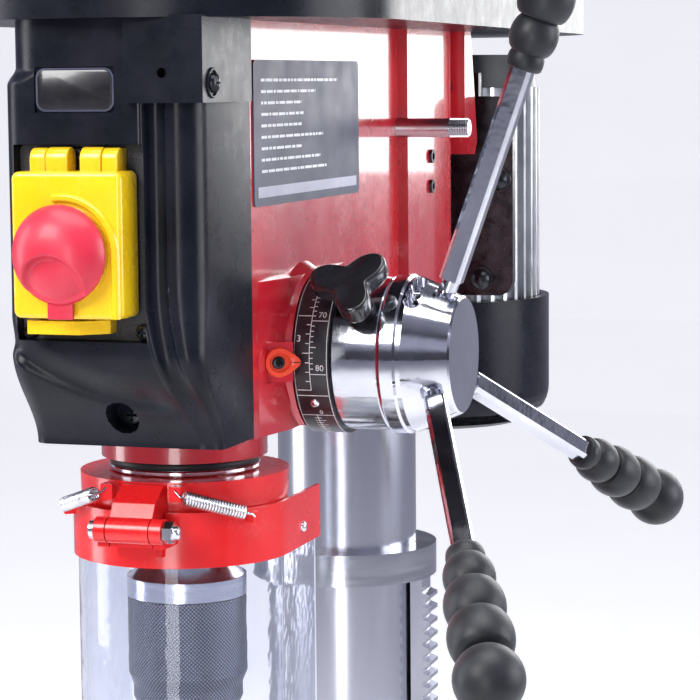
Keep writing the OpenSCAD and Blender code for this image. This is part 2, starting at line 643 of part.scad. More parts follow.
hub_profile = [[15.55, 53.9], [30, 53.9], [30, 95.4], [38, 95.4], [38.7, 96.2], [38.7, 102.5],
    [37.6, 103.6], [37.6, 106], [28.6, hub_face - 1], [27.6, hub_face], [0, hub_face],
    [0, 56.1], [15.55, 56.1]];
module feed_hub() color("gainsboro") difference() {
    on_feed() rotate_extrude() polygon(hub_profile);
    for (i = [0 : 2]) at_lever(i) translate([0, 0, -16]) cylinder(r = 4.6, h = 30);
    for (a = [96 : 9 : 132]) translate([0, feed_y, feed_z]) rotate([a, 0, 0]) translate([108, 38, 0])
        along_y() translate([0, 0, -6]) cylinder(r = 3.6, h = 12);
}

lever_x = 118.7;
// Child's +Z runs out along the lever from the hub's cone.
module at_lever(i) translate([lever_x, feed_y, feed_z]) rotate([lever_start + i * 120, 0, 0])
    translate([0, 28, 0]) rotate([0, 0, -lever_tilt]) along_y() children();

grip_len = 95;
grip_start = lever_len - grip_len;
module feed_levers() color("silver") for (i = [0 : 2]) at_lever(i) {
    translate([0, 0, -15]) cylinder(r = 4.5, h = 35);
    translate([0, 0, 9]) linear_extrude(grip_start - 9.2) lever_section();
    translate([0, 0, grip_start]) cylinder(r = 4.5, h = grip_len - 30);
}

module lever_section() intersection() {
    circle(6.4);
    square(10.8, center = true);
}

// Each ring of the grip: how far along it starts, its length and its radius; a ball closes the end.
grip_rings = [[0.2, 7.6, 8.8], [8, 17, 11.6], [25.2, 19.6, 13.6], [45, 20, 14.6]];
ball_z = 79.6;
ball_r = 15.4;
module lever_grips() color("black") for (i = [0 : 2]) at_lever(i) translate([0, 0, grip_start])
    rotate_extrude() polygon(concat([[4.6, 0]],
        [for (g = grip_rings) each [[g[2] - 2.4, g[0]], [g[2], g[0] + g[1] * 0.3], [g[2], g[0] + g[1] * 0.7],
            [g[2] - 2.4, g[0] + g[1]]]],
        [for (a = [-66 : 19.5 : 90]) [ball_r * cos(a), ball_z + ball_r * sin(a)]],
        [[0, ball_z + ball_r], [0, grip_len - 28], [4.6, grip_len - 28]]));

module depth_ring() color("black") on_feed(ring_x0) pipe(39.3, 30 + fit, ring_w);

knob_turn = 225;                  // knob's place round the hub, from below towards the back
knob_x = 83;
collar_x = ring_x0 + ring_w;
module ring_collar() color("gainsboro") on_feed(collar_x) difference() {
    rotate_extrude()
        polygon([[30 + fit, 0], [36.6, 0], [37.4, 1.2], [37.4, 22.6], [36.6, 23.7], [30 + fit, 23.7]]);
    rotate(knob_turn) translate([0, 0, knob_x - collar_x]) along_x() cylinder(r = 4 + fit, h = 60);
}

module depth_knob() color("black") on_feed(knob_x) rotate(knob_turn) translate([30.6, 0, 0]) along_x() {
    cylinder(r = 4, h = 16);
    translate([0, 0, 10]) cylinder(r = 7.5, h = 6);
    translate([0, 0, 15]) cylinder(r = 12.5, h = 10);
    for (a = [20 : 120 : 260]) rotate(a) translate([13.6, 0, 15.5]) cylinder(r = 6.8, h = 9);
}

pointer_turn = 30;                // pointer's face, from the front towards the operator's right
module depth_pointer() color("orangered") from_spindle(50.5, -6, 0) rotate([0, 0, pointer_turn])
    rotate([90, 0, 0]) {
        linear_extrude(2.4) difference() {
            union() {
                circle(7);
                polygon([[0, 6.9], [4, 5.7], [10.4, 1.6], [10.4, -1.6], [4, -5.7], [0, -6.9]]);
            }
            circle(3);
        }
        translate([0, 0, 0.3]) cylinder(r = 2.8, h = 1.7);
    }

module spring_can() color("black") on_feed(-head_half_w - 8 - 0.5) mirror([0, 0, 1]) difference() {
    union() {
        cylinder(r = 36, h = 24);
        cylinder(r = 38, h = 3);
    }
    translate([0, 0, -1]) cylinder(r = 33, h = 22);
    cylinder(r = 12.6, h = 40);
}

// Flat clock spring wound inside its can.
module return_spring() color("steelblue") on_feed(-head_half_w - 27) linear_extrude(16)
    polygon(concat([for (a = [0 : 15 : 1440]) polar(14 + a / 1440 * 17, a)],
        [for (a = [1440 : -15 : 0]) polar(13.2 + a / 1440 * 17, a)]));

// ---- belt drive ----

pan_z = head_top;
pan_h = 58;
lid_top = 108;
module cover_outline(inset) {
    translate([0, spindle_y]) circle(108 - inset);
    translate([0, motor_y]) circle(98 - inset);
    polygon([[-108 + inset, spindle_y], [108 - inset, spindle_y], [98 - inset, motor_y],
        [-98 + inset, motor_y]]);
}

module cover_pan() color("#1b1c20") translate([0, 0, feed_z + pan_z]) difference() {
    union() {
        difference() {
            linear_extrude(pan_h) cover_outline(0);
            translate([0, 0, 3]) linear_extrude(pan_h) cover_outline(3);
        }
        translate([0, idler_y, 2]) cylinder(r = 14, h = 2.4);
        translate([0, idler_y, 2]) cylinder(r = 7.9, h = 62);
        translate([14, spindle_y - 102, -37]) cube([37, 62, 38]);
        for (y = hinge_spots) translate([0, y, pan_h]) cover_knuckle(-1);
    }
    translate([0, spindle_y, -1]) cylinder(r = 34, h = 5);
    translate([0, motor_y - 6, -1]) rotate(90) linear_extrude(5) slot2d(60, 44);
    translate([0, spindle_y, -40]) linear_extrude(40) fascia_outline(-0.4);
    translate([32, spindle_y - 110, -24]) along_y() cylinder(r = 2.2, h = 20);
    for (y = hinge_spots) translate([cover_hinge_x, y - 1, pan_h + 0.3]) along_y() cylinder(r = 1.6, h = 80);
}

// Hinge knuckle 18 mm long with a leaf that reaches the cover's side, below or above the joint line.
module cover_knuckle(side) {
    translate([cover_hinge_x, 0, 0.3]) along_y() cylinder(r = 3.6, h = 18);
    translate([cover_hinge_x, 0, side > 0 ? 0.7 : -6]) cube([14, 18, side > 0 ? 5.3 : 5.9]);
}

cover_hinge_x = -113;
hinge_spots = [-60, 200];
idler_y = spindle_y + 200;

module cover_lid() color("#1b1c20") translate([0, 0, feed_z + pan_z + pan_h + 0.6]) {
    difference() {
        linear_extrude(lid_top - pan_h) cover_outline(0.6);
        translate([0, 0, -1]) linear_extrude(lid_top - pan_h - 2) cover_outline(3.6);
    }
    for (y = hinge_spots) difference() {
        translate([0, y + 18.4, -0.6]) cover_knuckle(1);
        translate([cover_hinge_x + 13, y, -3]) cube([20, 60, 3]);
    }
    for (y = hinge_spots) translate([cover_hinge_x, y + 1, -0.3]) along_y() cylinder(r = 1.5, h = 34);
    translate([60, spindle_y + 60, lid_top - pan_h - 0.1]) {
        cylinder(r = 6, h = 6);
        translate([0, 0, 6]) cylinder(r = 13, h = 8);
    }
}

step_h = 13;
step_r = [28, 38, 48, 58];
// Four-step V pulley standing on z = 0; order lists its steps from the bottom.
module step_pulley(order, bore) rotate_extrude() polygon(concat([[bore, -2]], [for (i = [0 : 3]) let (
    r = step_r[order[i]], z = i * step_h) each [[r + 3, z], [r + 3, z + 1], [r - 6, z + 2.6],
    [r - 6, z + step_h - 1.6], [r + 3, z + step_h]]], [[bore, 4 * step_h + 1]]));

rising = [0, 1, 2, 3];
falling = [3, 2, 1, 0];
pulley_z = pan_z + 7;
module spindle_pulley() color("silver") on_spindle() {
    translate([0, 0, pulley_z]) step_pulley(rising, 9);
    difference() {
        union() {
            translate([0, 0, 120]) cylinder(r = 15, h = pulley_z - 120 - 1);
            translate([0, 0, 124]) pipe(26, 14, 14);
        }
        translate([0, 0, 100]) cylinder(r = 9, h = 120);
    }
}

module idler_pulley() color("silver") translate([0, idler_y, feed_z + pulley_z]) step_pulley(falling, 8);

module motor_pulley() color("silver") on_motor() {
    translate([0, 0, pulley_z]) step_pulley(rising, 8);
    translate([0, 0, 100]) cylinder(r = 8.4, h = pulley_z - 100 + 50);
}

module belt_loop(y0, r0, y1, r1, z) translate([0, 0, feed_z + pulley_z + z]) linear_extrude(8) difference() {
    hull() {
        translate([0, y0]) circle(r0 + 5, $fn = 72);
        translate([0, y1]) circle(r1 + 5, $fn = 72);
    }
    hull() {
        translate([0, y0]) circle(r0 - 1.5, $fn = 72);
        translate([0, y1]) circle(r1 - 1.5, $fn = 72);
    }
}

module belts() color("#222222") {
    belt_loop(spindle_y, step_r[3] - 2, idler_y, step_r[0] - 2, 3 * step_h + 3);
    belt_loop(idler_y, step_r[3] - 2, motor_y, step_r[0] - 2, 3);
}

// ---- motor ----

fin_count = 44;
// Outline of the motor with its cooling fins, four points a fin.
module fins2d() polygon([for (i = [0 : fin_count - 1]) let (a = i * 360 / fin_count) each [
    polar(motor_r - 8, a - 1.5), polar(motor_r, a - 1.1), polar(motor_r, a + 1.1), polar(motor_r - 8, a + 1.5)]]);

module motor_body() color("gainsboro") on_motor() difference() {
    union() {
        translate([0, 0, -5]) linear_extrude(132) fins2d();
        translate([-52, -motor_r - 10, 14]) cube([104, 40, 96]);
    }
    translate([0, 0, -6]) cylinder(r = motor_r - 14, h = 134);
    translate([0, 0, 90]) cylinder(r = 9, h = 60);
}

module motor_covers() color("#1b1c20") on_motor() {
    difference() {
        union() {
            translate([0, 0, -64]) cylinder(r = motor_r + 6, h = 59);
            rotate_extrude() polygon(concat([[0, -86]],
                [for (a = [-90 : 10 : 0]) [motor_r - 16 + 22 * cos(a), -64 + 22 * sin(a)]], [[0, -63]]));
        }
        translate([0, 0, -83]) cylinder(r = motor_r + 2, h = 77);
        translate([0, 0, -8]) cylinder(r = motor_r + 1, h = 10);
        for (a = [0 : 30 : 330], r = [24, 44]) rotate(a) translate([r, 0, -90])
            rotate(90) linear_extrude(9) slot2d(r * 0.36, 5);
    }
    translate([0, 0, 127.2]) pipe(motor_r - 2, 17, 20);
    translate([0, 0, -5.4]) rotate_extrude() polygon([[0, 0], [motor_r - 1, 0], [motor_r - 1, -3], [0, -3]]);
    rotate(65) translate([motor_r + 0.4, -18, 35]) cube([18, 36, 90]);
}

module motor_mount() color("#1b1c20") {
    from_spindle(0, 350, 62) rotate([-90, 0, 0]) slab(152, 120, 6.5, 10);
    mirrored_x() from_spindle(motor_bar_x, 226, motor_bar_z) along_y() cylinder(r = 7, h = 130);
    mirrored_x() from_spindle(motor_bar_x - 12, 350, 100) cube([24, 6.5, 36]);
    mirrored_x() {
        from_spindle(68, 350, 72) rotate([90, 0, 0]) motor_nut();
        from_spindle(57, 350, 12) rotate([90, 0, 0]) motor_nut();
    }
}

module motor_nut() {
    cylinder(r = 7.4, h = 3);
    translate([0, 0, 3]) sphere(r = 6.4);
}

// ---- assembly ----

base();
column_foot();
foot_bolts();
column();
rack();
rack_collar();
table_bracket();
lift_pinion();
crank();
crank_grip();
bracket_lock();
table_arm();
tilt_bolt();
table();
table_lock();
head_casting();
set_screws();
tension_rod();
label_plates();
fascia();
fascia_screws();
switch_plate();
switch_box();
start_button();
stop_button();
switch_lid();
stop_mushroom();
quill();
quill_bearings();
bumper_ring();
spindle();
chuck_body();
chuck_sleeve();
jaw_1();
jaw_2();
jaw_3();
guard_clamp();
guard_band();
guard_shield();
guard_bolt();
guard_springs();
feed_shaft();
feed_hub();
feed_levers();
lever_grips();
depth_ring();
ring_collar();
depth_knob();
depth_pointer();
spring_can();
return_spring();
cover_pan();
cover_lid();
spindle_pulley();
idler_pulley();
belts();
motor_body();
motor_covers();
motor_mount();
motor_pulley();
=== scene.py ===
"""Looks of the bench pillar drill: studio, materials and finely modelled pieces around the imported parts."""
import math
import random

import bmesh
import bpy
from mathutils import Matrix, Vector


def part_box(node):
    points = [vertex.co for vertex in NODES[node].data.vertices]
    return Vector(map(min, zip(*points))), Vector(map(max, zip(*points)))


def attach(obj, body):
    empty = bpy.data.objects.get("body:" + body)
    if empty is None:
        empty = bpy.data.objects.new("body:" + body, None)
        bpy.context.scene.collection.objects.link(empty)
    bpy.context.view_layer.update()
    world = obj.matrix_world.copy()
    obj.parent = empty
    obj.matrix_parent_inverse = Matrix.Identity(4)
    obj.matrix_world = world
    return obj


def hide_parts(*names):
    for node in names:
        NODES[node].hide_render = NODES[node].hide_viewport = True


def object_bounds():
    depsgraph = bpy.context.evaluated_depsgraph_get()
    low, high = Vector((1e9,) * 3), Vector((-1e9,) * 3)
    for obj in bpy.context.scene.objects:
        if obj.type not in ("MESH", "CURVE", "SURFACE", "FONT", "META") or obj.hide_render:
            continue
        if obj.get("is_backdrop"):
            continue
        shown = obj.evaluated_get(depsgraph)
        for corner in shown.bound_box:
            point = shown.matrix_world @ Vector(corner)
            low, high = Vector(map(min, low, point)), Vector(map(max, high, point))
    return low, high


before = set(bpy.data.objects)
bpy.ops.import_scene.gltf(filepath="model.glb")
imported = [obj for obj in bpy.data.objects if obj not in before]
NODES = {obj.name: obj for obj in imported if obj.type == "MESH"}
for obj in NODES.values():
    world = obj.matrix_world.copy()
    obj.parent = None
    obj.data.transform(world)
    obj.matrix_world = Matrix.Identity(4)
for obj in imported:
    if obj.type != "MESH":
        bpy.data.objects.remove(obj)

CAD_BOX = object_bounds()
MM = 0.001


def centre(node):
    lo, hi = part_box(node)
    return (lo + hi) / 2


SPINDLE_Y = centre("chuck_sleeve").y
FEED = centre("depth_ring")
FEED_Y, FEED_Z = FEED.y, FEED.z


def at(x, y, z):
    """A point given in millimetres from the spindle axis at the height of the feed shaft."""
    return Vector((x * MM, SPINDLE_Y + y * MM, FEED_Z + z * MM))


# ---- materials ----

class Nodes:
    """Short hand for building one material's node tree."""

    def __init__(self, name, **sockets):
        self.mat = bpy.data.materials.new(name)
        self.mat.use_nodes = True
        self.tree = self.mat.node_tree
        self.tree.nodes.clear()
        self.out = self.node("ShaderNodeOutputMaterial")
        self.bsdf = self.node("ShaderNodeBsdfPrincipled")
        self.link(self.bsdf, "BSDF", self.out, "Surface")
        self.coord = self.node("ShaderNodeTexCoord")
        self.heights = []
        for key, value in sockets.items():
            self.bsdf.inputs[key.replace("_", " ")].default_value = value

    def node(self, kind, **attributes):
        n = self.tree.nodes.new(kind)
        for key, value in attributes.items():
            setattr(n, key, value)
        return n

    def link(self, a, out, b, into):
        self.tree.links.new(a.outputs[out], b.inputs[into])

    def place(self, scale=(1, 1, 1), about=(0, 0, 0)):
        m = self.node("ShaderNodeMapping")
        m.inputs["Scale"].default_value = scale
        m.inputs["Location"].default_value = [-s * a for s, a in zip(scale, about)]
        self.link(self.coord, "Object", m, "Vector")
        return m

    def noise(self, scale, detail=3.0, rough=0.55, stretch=(1, 1, 1)):
        n = self.node("ShaderNodeTexNoise")
        n.inputs["Scale"].default_value = scale
        n.inputs["Detail"].default_value = detail
        n.inputs["Roughness"].default_value = rough
        self.link(self.place(stretch), "Vector", n, "Vector")
        return n

    def remap(self, source, out, low, high, to_low, to_high):
        m = self.node("ShaderNodeMapRange")
        for key, value in (("From Min", low), ("From Max", high), ("To Min", to_low), ("To Max", to_high)):
            m.inputs[key].default_value = value
        self.link(source, out, m, "Value")
        return m

    def math(self, op, a, b=None):
        m = self.node("ShaderNodeMath", operation=op)
        for i, v in enumerate((a, b)):
            if v is None:
                continue
            if isinstance(v, (int, float)):
                m.inputs[i].default_value = v
            else:
                self.tree.links.new(v, m.inputs[i])
        return m.outputs[0]

    def colour(self, dark, light, scale=18.0, stretch=(1, 1, 1), low=0.35, high=0.65):
        n = self.noise(scale, 4.0, 0.6, stretch)
        f = self.remap(n, "Fac", low, high, 0, 1)
        mix = self.node("ShaderNodeMix", data_type="RGBA")
        mix.inputs["A"].default_value = (*dark, 1)
        mix.inputs["B"].default_value = (*light, 1)
        self.link(f, "Result", mix, "Factor")
        self.tree.links.new(mix.outputs["Result"], self.bsdf.inputs["Base Color"])
        return mix

    def spots(self, mix, colour, scale, threshold, strength=0.7):
        """Small marks over the colour that mix gives."""
        n = self.noise(scale, 2.0, 0.5)
        f = self.remap(n, "Fac", threshold, threshold + 0.04, 0, strength)
        top = self.node("ShaderNodeMix", data_type="RGBA")
        self.tree.links.new(mix.outputs["Result"], top.inputs["A"])
        top.inputs["B"].default_value = (*colour, 1)
        self.link(f, "Result", top, "Factor")
        self.tree.links.new(top.outputs["Result"], self.bsdf.inputs["Base Color"])
        return top

    def roughness(self, low, high, scale=40.0, stretch=(1, 1, 1)):
        n = self.noise(scale, 4.0, 0.6, stretch)
        f = self.remap(n, "Fac", 0.3, 0.7, low, high)
        self.link(f, "Result", self.bsdf, "Roughness")

    def bump(self, height, distance, strength=1.0):
        b = self.node("ShaderNodeBump")
        b.inputs["Strength"].default_value = strength
        b.inputs["Distance"].default_value = distance
        self.tree.links.new(height, b.inputs["Height"])
        if self.heights:
            self.link(self.heights[-1], "Normal", b, "Normal")
        self.link(b, "Normal", self.bsdf, "Normal")
        self.heights.append(b)

    def grain(self, scale, distance, strength=0.5, detail=3.0, stretch=(1, 1, 1)):
        self.bump(self.noise(scale, detail, 0.6, stretch).outputs["Fac"], distance, strength)


def red_paint():
    m = Nodes("red_paint", Coat_Weight=0.75, Coat_Roughness=0.06, Specular_IOR_Level=0.55)
    mix = m.colour((0.46, 0.006, 0.014), (0.58, 0.012, 0.026), 9.0)
    m.spots(mix, (0.30, 0.004, 0.008), 160.0, 0.70, 0.5)
    m.roughness(0.16, 0.30, 30.0)
    m.grain(330.0, 0.00022, 0.35)
    m.grain(45.0, 0.0012, 0.22, 2.0)
    return m.mat


def moulded_black():
    m = Nodes("moulded_black", Specular_IOR_Level=0.20)
    m.colour((0.004, 0.005, 0.009), (0.010, 0.011, 0.018), 26.0)
    m.roughness(0.24, 0.34, 90.0)
    m.grain(1500.0, 0.00008, 0.35)
    return m.mat


def textured_black():
    m = Nodes("textured_black", Specular_IOR_Level=0.5)
    m.colour((0.012, 0.012, 0.016), (0.035, 0.035, 0.042), 900.0, low=0.4, high=0.6)
    m.roughness(0.45, 0.62, 200.0)
    m.grain(900.0, 0.00035, 0.8)
    return m.mat


def gloss_black():
    m = Nodes("gloss_black", Coat_Weight=0.5, Coat_Roughness=0.08)
    m.colour((0.006, 0.006, 0.008), (0.015, 0.015, 0.019), 40.0)
    m.roughness(0.18, 0.30, 60.0)
    m.grain(700.0, 0.00006, 0.25)
    return m.mat


def ring_black():
    m = Nodes("ring_black", Coat_Weight=0.3, Coat_Roughness=0.2)
    m.colour((0.008, 0.008, 0.011), (0.020, 0.020, 0.026), 60.0)
    m.roughness(0.26, 0.40, 120.0, (0.2, 1, 1))
    m.grain(1200.0, 0.00005, 0.3, stretch=(0.1, 1, 1))
    return m.mat


def rubber():
    m = Nodes("grip_rubber", Specular_IOR_Level=0.35, Sheen_Weight=0.12, Sheen_Roughness=0.5)
    m.colour((0.006, 0.007, 0.010), (0.014, 0.015, 0.020), 70.0)
    m.roughness(0.38, 0.50, 150.0)
    m.grain(1300.0, 0.00012, 0.4)
    return m.mat


def belt_rubber():
    m = Nodes("belt_rubber", Specular_IOR_Level=0.3)
    m.colour((0.010, 0.010, 0.010), (0.030, 0.030, 0.029), 160.0)
    m.roughness(0.6, 0.8, 150.0)
    m.grain(900.0, 0.0003, 0.6)
    return m.mat


def chrome():
    m = Nodes("chrome", Metallic=1.0)
    mix = m.colour((0.56, 0.57, 0.63), (0.74, 0.75, 0.80), 14.0)
    m.spots(mix, (0.40, 0.41, 0.45), 260.0, 0.72, 0.3)
    m.roughness(0.06, 0.15, 60.0, (1, 1, 1))
    m.grain(90.0, 0.0006, 0.2, 2.0)
    m.grain(1400.0, 0.00003, 0.25, stretch=(1, 0.1, 0.1))
    return m.mat


def turned_steel(name="turned_steel", stretch=(0.04, 1, 1), dark=(0.42, 0.43, 0.46), light=(0.66, 0.67, 0.70),
                 rough=(0.16, 0.34)):
    m = Nodes(name, Metallic=1.0, Anisotropic=0.4)
    mix = m.colour(dark, light, 40.0, stretch)
    m.spots(mix, tuple(c * 0.6 for c in dark), 210.0, 0.73, 0.3)
    m.roughness(*rough, 120.0, stretch)
    m.grain(1600.0, 0.00004, 0.35, stretch=stretch)
    return m.mat


def column_steel():
    m = Nodes("column_steel", Metallic=1.0)
    m.colour((0.52, 0.53, 0.60), (0.60, 0.61, 0.68), 12.0, (1, 1, 0.05))
    m.roughness(0.17, 0.25, 60.0, (1, 1, 0.08))
    m.grain(500.0, 0.00003, 0.2, stretch=(1, 1, 0.05))
    return m.mat


def zinc():
    m = Nodes("zinc_plate", Metallic=1.0)
    mix = m.colour((0.58, 0.60, 0.64), (0.80, 0.81, 0.84), 120.0)
    m.spots(mix, (0.42, 0.43, 0.46), 500.0, 0.68, 0.4)
    m.roughness(0.14, 0.30, 200.0)
    m.grain(900.0, 0.00005, 0.3)
    return m.mat


def black_steel():
    m = Nodes("black_steel", Metallic=0.85)
    mix = m.colour((0.020, 0.021, 0.025), (0.055, 0.057, 0.065), 120.0)
    m.spots(mix, (0.20, 0.20, 0.22), 700.0, 0.70, 0.5)
    m.roughness(0.22, 0.40, 160.0)
    m.grain(1200.0, 0.00006, 0.3)
    return m.mat


def knurled_steel():
    """Dark steel with a diamond knurl cut round the spindle's axis; its colour carries painted shade in the
    grooves and painted highlight on the diamonds.
    """
    m = Nodes("knurled_steel", Metallic=1.0)
    m.roughness(0.28, 0.36, 60.0)
    place = m.place((1, 1, 1), (0, SPINDLE_Y, 0))
    xyz = m.node("ShaderNodeSeparateXYZ")
    m.link(place, "Vector", xyz, "Vector")
    angle = m.math("ARCTAN2", xyz.outputs["Y"], xyz.outputs["X"])
    around = m.math("MULTIPLY", angle, 48.0)
    along = m.math("MULTIPLY", xyz.outputs["Z"], math.pi / 0.0019)
    a = m.math("SINE", m.math("ADD", around, along))
    b = m.math("SINE", m.math("SUBTRACT", around, along))
    height = m.math("ABSOLUTE", m.math("MULTIPLY", a, b))
    # Base colour follows the knurl's height: painted shade along the grooves, painted highlight on the
    # diamond tops.
    mix = m.node("ShaderNodeMix", data_type="RGBA")
    mix.inputs["A"].default_value = (0.030, 0.031, 0.040, 1)
    mix.inputs["B"].default_value = (0.27, 0.28, 0.32, 1)
    m.tree.links.new(height, mix.inputs["Factor"])
    m.tree.links.new(mix.outputs["Result"], m.bsdf.inputs["Base Color"])
    m.bump(height, 0.0003, 0.6)
    return m.mat


def cast_grey():
    m = Nodes("cast_grey", Coat_Weight=0.3, Coat_Roughness=0.3)
    mix = m.colour((0.075, 0.078, 0.083), (0.14, 0.143, 0.15), 14.0)
    m.spots(mix, (0.045, 0.045, 0.05), 220.0, 0.68, 0.5)
    m.roughness(0.42, 0.62, 60.0)
    m.grain(160.0, 0.0009, 0.5)
    return m.mat


def ground_table():
    m = Nodes("ground_table", Metallic=0.9)
    mix = m.colour((0.24, 0.245, 0.25), (0.40, 0.405, 0.41), 26.0)
    m.spots(mix, (0.14, 0.12, 0.10), 90.0, 0.72, 0.4)
    m.roughness(0.26, 0.48, 60.0)
    m.grain(700.0, 0.0001, 0.4)
    return m.mat


def aluminium():
    m = Nodes("cast_aluminium", Metallic=1.0)
    mix = m.colour((0.56, 0.57, 0.60), (0.76, 0.77, 0.79), 40.0)
    m.spots(mix, (0.38, 0.39, 0.41), 320.0, 0.70, 0.4)
    m.roughness(0.28, 0.46, 90.0)
    m.grain(500.0, 0.0002, 0.4)
    return m.mat


def plastic(name, dark, light, rough=(0.20, 0.32), coat=0.35, grain=0.00006):
    m = Nodes(name, Coat_Weight=coat, Coat_Roughness=0.12, Subsurface_Weight=0.06, Subsurface_Scale=0.004)
    m.colour(dark, light, 24.0)
    m.roughness(*rough, 80.0)
    m.grain(900.0, grain, 0.3)
    return m.mat


def clear_shield():
    m = Nodes("clear_shield", Transmission_Weight=1.0, IOR=1.3)
    m.colour((0.78, 0.81, 0.91), (0.86, 0.88, 0.95), 30.0)
    m.roughness(0.02, 0.06, 60.0)
    m.grain(60.0, 0.0008, 0.25, 2.0)
    return m.mat


def print_white():
    m = Nodes("print_white", Specular_IOR_Level=0.2)
    m.colour((0.66, 0.67, 0.68), (0.86, 0.86, 0.86), 500.0)
    m.roughness(0.35, 0.5, 200.0)
    m.grain(1500.0, 0.00003, 0.2)
    return m.mat


def label_film():
    m = Nodes("label_film", Specular_IOR_Level=0.25)
    m.colour((0.045, 0.050, 0.085), (0.075, 0.080, 0.120), 12.0)
    m.roughness(0.36, 0.46, 60.0)
    m.grain(60.0, 0.0006, 0.12, 2.0)
    return m.mat


MATS = {
    "red_paint": red_paint(), "moulded_black": moulded_black(), "textured_black": textured_black(),
    "gloss_black": gloss_black(), "ring_black": ring_black(), "rubber": rubber(), "belt": belt_rubber(),
    "chrome": chrome(), "turned": turned_steel(), "column": column_steel(), "zinc": zinc(),
    "black_steel": black_steel(), "knurl": knurled_steel(), "cast_grey": cast_grey(), "table": ground_table(),
    "aluminium": aluminium(), "clear": clear_shield(), "white": print_white(), "label": label_film(),
    "label_pale": plastic("label_pale", (0.30, 0.31, 0.40), (0.42, 0.43, 0.52), (0.3, 0.4), 0.0),
    "upright_steel": turned_steel("upright_steel", (0.3, 0.3, 3), (0.46, 0.47, 0.52), (0.60, 0.61, 0.66),
                                  (0.14, 0.24)),
    "yellow": plastic("yellow_plastic", (0.80, 0.50, 0.006), (0.88, 0.58, 0.010)),
    "red_soft": plastic("red_button", (0.56, 0.016, 0.045), (0.64, 0.026, 0.06), (0.36, 0.46), 0.1),
    "guard_red": plastic("guard_red", (0.66, 0.010, 0.012), (0.76, 0.018, 0.020), (0.20, 0.30), 0.3),
    "pointer": plastic("pointer_red", (0.80, 0.05, 0.02), (0.88, 0.08, 0.03)),
    "green": plastic("green_plastic", (0.01, 0.25, 0.06), (0.02, 0.33, 0.09)),
}

CAD_LOOKS = {
    "red_paint": ["head_casting"],
    "moulded_black": ["cover_pan", "cover_lid", "motor_covers", "spring_can"],
    "textured_black": ["switch_plate"],
    "gloss_black": ["crank_grip", "bracket_lock", "table_lock"],
    "ring_black": ["depth_ring"],
    "belt": ["belts"],
    "chrome": ["feed_hub", "ring_collar", "feed_levers"],
    "upright_steel": ["quill", "chuck_body", "rack_collar", "spindle", "quill_bearings"],
    "turned": ["feed_shaft", "tension_rod", "lift_pinion", "crank", "return_spring"],
    "column": ["column", "rack"],
    "zinc": ["foot_bolts", "tilt_bolt", "guard_bolt"],
    "black_steel": ["set_screws", "fascia_screws", "motor_mount", "jaw_1", "jaw_2", "jaw_3", "bumper_ring"],
    "knurl": ["chuck_sleeve"],
    "cast_grey": ["base", "column_foot", "table_bracket", "table_arm"],
    "table": ["table"],
    "aluminium": ["spindle_pulley", "idler_pulley", "motor_pulley", "motor_body"],
    "clear": ["guard_shield"],
    "label": ["label_plates"],
    "yellow": ["switch_box", "switch_lid"],
    "guard_red": ["guard_clamp", "guard_band"],
    "pointer": ["depth_pointer"],
    "green": ["start_button"],
    "red_soft": ["stop_button"],
}
# Rounded edge, in mm, that each carried-over part shows.
EDGES = {
    "head_casting": 1.6, "cover_pan": 1.5, "cover_lid": 2.5, "motor_covers": 1.2, "spring_can": 1.0,
    "switch_plate": 0.4, "depth_ring": 0.3, "feed_hub": 0.5, "ring_collar": 0.5, "feed_levers": 0.3,
    "rack_collar": 0.8, "base": 1.8, "column_foot": 1.2, "table_bracket": 1.5, "table_arm": 1.4, "table": 0.7,
    "switch_box": 0.7, "switch_lid": 1.0, "guard_clamp": 0.5, "guard_band": 0.35, "motor_mount": 0.6,
    "foot_bolts": 0.4, "guard_bolt": 0.25, "start_button": 0.6, "stop_button": 0.6, "label_plates": 0.15,
    "crank": 0.5, "quill": 0.3, "chuck_body": 0.5, "rack": 0.2, "column": 0.5, "guard_shield": 0.3,
}


def dress(obj, mat, edge=0.0, angle=38.0):
    """Material, smooth shading and a small rounded edge."""
    obj.data.materials.clear()
    obj.data.materials.append(MATS[mat])
    for p in obj.data.polygons:
        p.use_smooth = True
    obj.data.set_sharp_from_angle(angle=math.radians(angle))
    if edge:
        b = obj.modifiers.new("edge", "BEVEL")
        b.width = edge * MM
        b.segments = 2
        b.limit_method = "ANGLE"
        b.angle_limit = math.radians(angle)
        b.harden_normals = True
        b.use_clamp_overlap = True
        b.miter_outer = "MITER_ARC"


def dress_cad():
    for mat, names in CAD_LOOKS.items():
        for name in names:
            dress(NODES[name], mat, EDGES.get(name, 0.0))


# ---- building helpers ----

def make(name, verts, faces, mat, body, slot, replaces=(), smooth=True, angle=40.0, edge=0.0):
    mesh = bpy.data.meshes.new(name)
    mesh.from_pydata([tuple(v) for v in verts], [], faces)
    mesh.validate()
    obj = bpy.data.objects.new(name, mesh)
    bpy.context.scene.collection.objects.link(obj)
    return settle(obj, mat, body, slot, replaces, smooth, angle, edge)


def settle(obj, mat, body, slot, replaces=(), smooth=True, angle=40.0, edge=0.0):
    b = bmesh.new()
    b.from_mesh(obj.data)
    bmesh.ops.remove_doubles(b, verts=b.verts, dist=1e-6)
    bmesh.ops.recalc_face_normals(b, faces=b.faces)
    b.to_mesh(obj.data)
    b.free()
    if smooth:
        dress(obj, mat, edge, angle)
    else:
        obj.data.materials.append(MATS[mat])
    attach(obj, body)
    if replaces:
        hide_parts(*replaces)
    return obj


